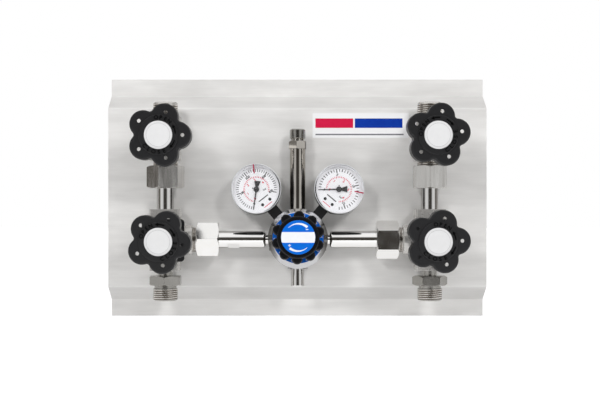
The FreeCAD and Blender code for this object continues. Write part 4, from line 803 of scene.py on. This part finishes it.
def makeSticker():
    low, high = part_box("info_label")
    centre = (low + high) / 2
    place = facing((centre.x, low.y, centre.z), (0.0, -1.0, 0.0))
    for part, finish in stickerFinish.items():
        across, up, width, height = [value * mm for value in stickerFields[part]]
        thick = stickerFields["height"]
        mesh = bmesh.new()
        addBar(mesh, Vector((across, up, thick / 2)), width, height, thick, 0.0)
        finishPiece(f"sticker_{part}_field", mesh, finish, rootBody, place)


makeSticker()
print("sticker printed")

# Stage: floor, light, world and camera

# The floor starts behind the camera, so flat polished faces still mirror the dark card round the lens.
floorPaint = {"colour": (0.80, 0.80, 0.80), "glow": 0.8, "mirrored": 0.4, "drop": 0.20, "size": 9.0,
              "front": -2.0}


def makeFloor():
    material, tree, shader = startMaterial("paleFloor")
    tree.nodes.remove(shader)
    rays = addNode(tree, "ShaderNodeLightPath").outputs
    seen = worked(tree, "MAXIMUM", rays["Is Camera Ray"], rays["Is Transmission Ray"])
    mirrored = worked(tree, "MULTIPLY", rays["Is Glossy Ray"], floorPaint["mirrored"])
    level = worked(tree, "MULTIPLY_ADD", seen, floorPaint["glow"], mirrored)
    paint = addNode(tree, "ShaderNodeBsdfDiffuse", Color=(*floorPaint["colour"], 1.0))
    glow = addNode(tree, "ShaderNodeEmission", Strength=level)
    both = addNode(tree, "ShaderNodeAddShader")
    feed(tree, both.inputs, (paint.outputs[0], glow.outputs[0]))
    plug(tree, tree.nodes["Material Output"], Surface=both.outputs[0])
    mesh = bmesh.new()
    bmesh.ops.create_grid(mesh, x_segments=1, y_segments=1, size=floorPaint["size"])
    shift = (0.0, floorPaint["front"] + floorPaint["size"], cadLow[2] - floorPaint["drop"])
    bmesh.ops.translate(mesh, vec=shift, verts=mesh.verts)
    data = bpy.data.meshes.new("floor")
    mesh.to_mesh(data)
    mesh.free()
    data.materials.append(material)
    floor = bpy.data.objects.new("floor", data)
    bpy.context.scene.collection.objects.link(floor)


# What polished metal sees of the studio, as pairs of degrees from the front and brightness: a dark card
# round the lens that reaches 19 degrees to the sides, 31 up and 8 down, white panels beyond it, and dark
# gaps behind them at the sides. "darkTint" warms what is dimmer than "darkBelow", and "leanFrom" and
# "leanTo" set where the sides turn into up and down.
studioGlow = {
    "diffuse": 0.48,
    "side": [(0, 0.04), (19, 0.05), (31, 0.60), (66, 0.66), (75, 0.12), (108, 0.14), (118, 0.5),
             (148, 0.45), (162, 0.2), (180, 0.15)],
    "up": [(0, 0.05), (31, 0.06), (41, 0.95), (70, 1.0), (100, 0.95), (118, 0.85), (132, 0.3), (180, 0.11)],
    "down": [(0, 0.05), (8, 0.06), (15, 0.98), (60, 1.0), (120, 1.0), (140, 0.9), (160, 0.8), (180, 0.7)],
    "darkTint": (1.0, 0.92, 0.83), "darkBelow": 0.5, "leanFrom": 0.45, "leanTo": 0.75,
}


def glowRamp(tree, share, stops):
    ramp = addNode(tree, "ShaderNodeValToRGB", Fac=share)
    elements = ramp.color_ramp.elements
    while len(elements) < len(stops):
        elements.new(0.5)
    for element, (degrees, level) in zip(elements, stops):
        tint = studioGlow["darkTint"] if level < studioGlow["darkBelow"] else (1.0, 1.0, 1.0)
        element.position = degrees / 180.0
        element.color = (*[level * part for part in tint], 1.0)
    return ramp.outputs["Color"]


def workedVector(tree, operation, *values):
    node = addNode(tree, "ShaderNodeVectorMath", {"operation": operation})
    feed(tree, node.inputs, values)
    return node.outputs


def makeWorld():
    world = bpy.data.worlds.new("studio")
    bpy.context.scene.world = world
    world.use_nodes = True
    tree = world.node_tree
    direction = addNode(tree, "ShaderNodeTexCoord").outputs["Generated"]
    toFront = workedVector(tree, "DOT_PRODUCT", direction, (0.0, -1.0, 0.0))["Value"]
    share = remapped(tree, worked(tree, "ARCCOSINE", toFront), 0.0, 1.0, 0.0, math.pi)
    flat = workedVector(tree, "MULTIPLY", direction, (1.0, 0.0, 1.0))["Vector"]
    lean = workedVector(tree, "NORMALIZE", flat)["Vector"]
    height = addNode(tree, "ShaderNodeSeparateXYZ", Vector=lean).outputs["Z"]
    low, high = studioGlow["leanFrom"], studioGlow["leanTo"]
    upShare = remapped(tree, height, 0.0, 1.0, low, high)
    downShare = remapped(tree, height, 1.0, 0.0, -high, -low)
    sides, up, down = [glowRamp(tree, share, studioGlow[part]) for part in ("side", "up", "down")]
    studio = mixedColour(tree, downShare, mixedColour(tree, upShare, sides, up), down)
    rays = addNode(tree, "ShaderNodeLightPath").outputs
    lit = mixedColour(tree, rays["Is Glossy Ray"], (studioGlow["diffuse"],) * 3, studio)
    seen = worked(tree, "MAXIMUM", rays["Is Camera Ray"], rays["Is Transmission Ray"])
    plug(tree, tree.nodes["Background"], Color=mixedColour(tree, seen, lit, (1.0, 1.0, 1.0)), Strength=1.0)


# Two equal lamps stand left and right of the camera and are turned towards the middle of the panel.
softBoxes = {"across": {"leftBox": -0.7, "rightBox": 0.7}, "front": -1.9, "up": 0.6, "size": (0.3, 0.4),
             "energy": 13.5, "aimDepth": -0.03}


def makeLights():
    target = Vector((0.0, softBoxes["aimDepth"], (cadLow[2] + cadHigh[2]) / 2))
    for name, across in softBoxes["across"].items():
        light = bpy.data.lights.new(name, "AREA")
        light.shape = "RECTANGLE"
        light.size, light.size_y = softBoxes["size"]
        light.energy = softBoxes["energy"]
        lamp = bpy.data.objects.new(name, light)
        lamp.location = (across, softBoxes["front"], softBoxes["up"])
        lamp.rotation_euler = (target - Vector(lamp.location)).to_track_quat("-Z", "Y").to_euler()
        lamp.visible_glossy = False
        bpy.context.scene.collection.objects.link(lamp)


# The camera looks straight at the panel, and its shifts put the picture where the photograph has it.
photoView = {"focalPixels": 1348.0, "frameWidth": 600.0, "sensor": 36.0, "distance": 1.5,
             "panFront": -0.0315, "across": -0.012, "up": -0.130, "shiftX": 0.0223, "shiftY": 0.005}


def makeCamera():
    view = photoView
    data = bpy.data.cameras.new("photoCamera")
    data.sensor_width = view["sensor"]
    data.lens = view["sensor"] * view["focalPixels"] / view["frameWidth"]
    data.shift_x = view["shiftX"]
    data.shift_y = view["shiftY"]
    camera = bpy.data.objects.new("photoCamera", data)
    camera.location = (view["across"], view["panFront"] - view["distance"], view["up"])
    camera.rotation_euler = (math.radians(90.0), 0.0, 0.0)
    bpy.context.scene.collection.objects.link(camera)
    bpy.context.scene.camera = camera


makeFloor()
makeWorld()
makeLights()
makeCamera()
bpy.context.scene.view_settings.view_transform = "Standard"
print("stage set")
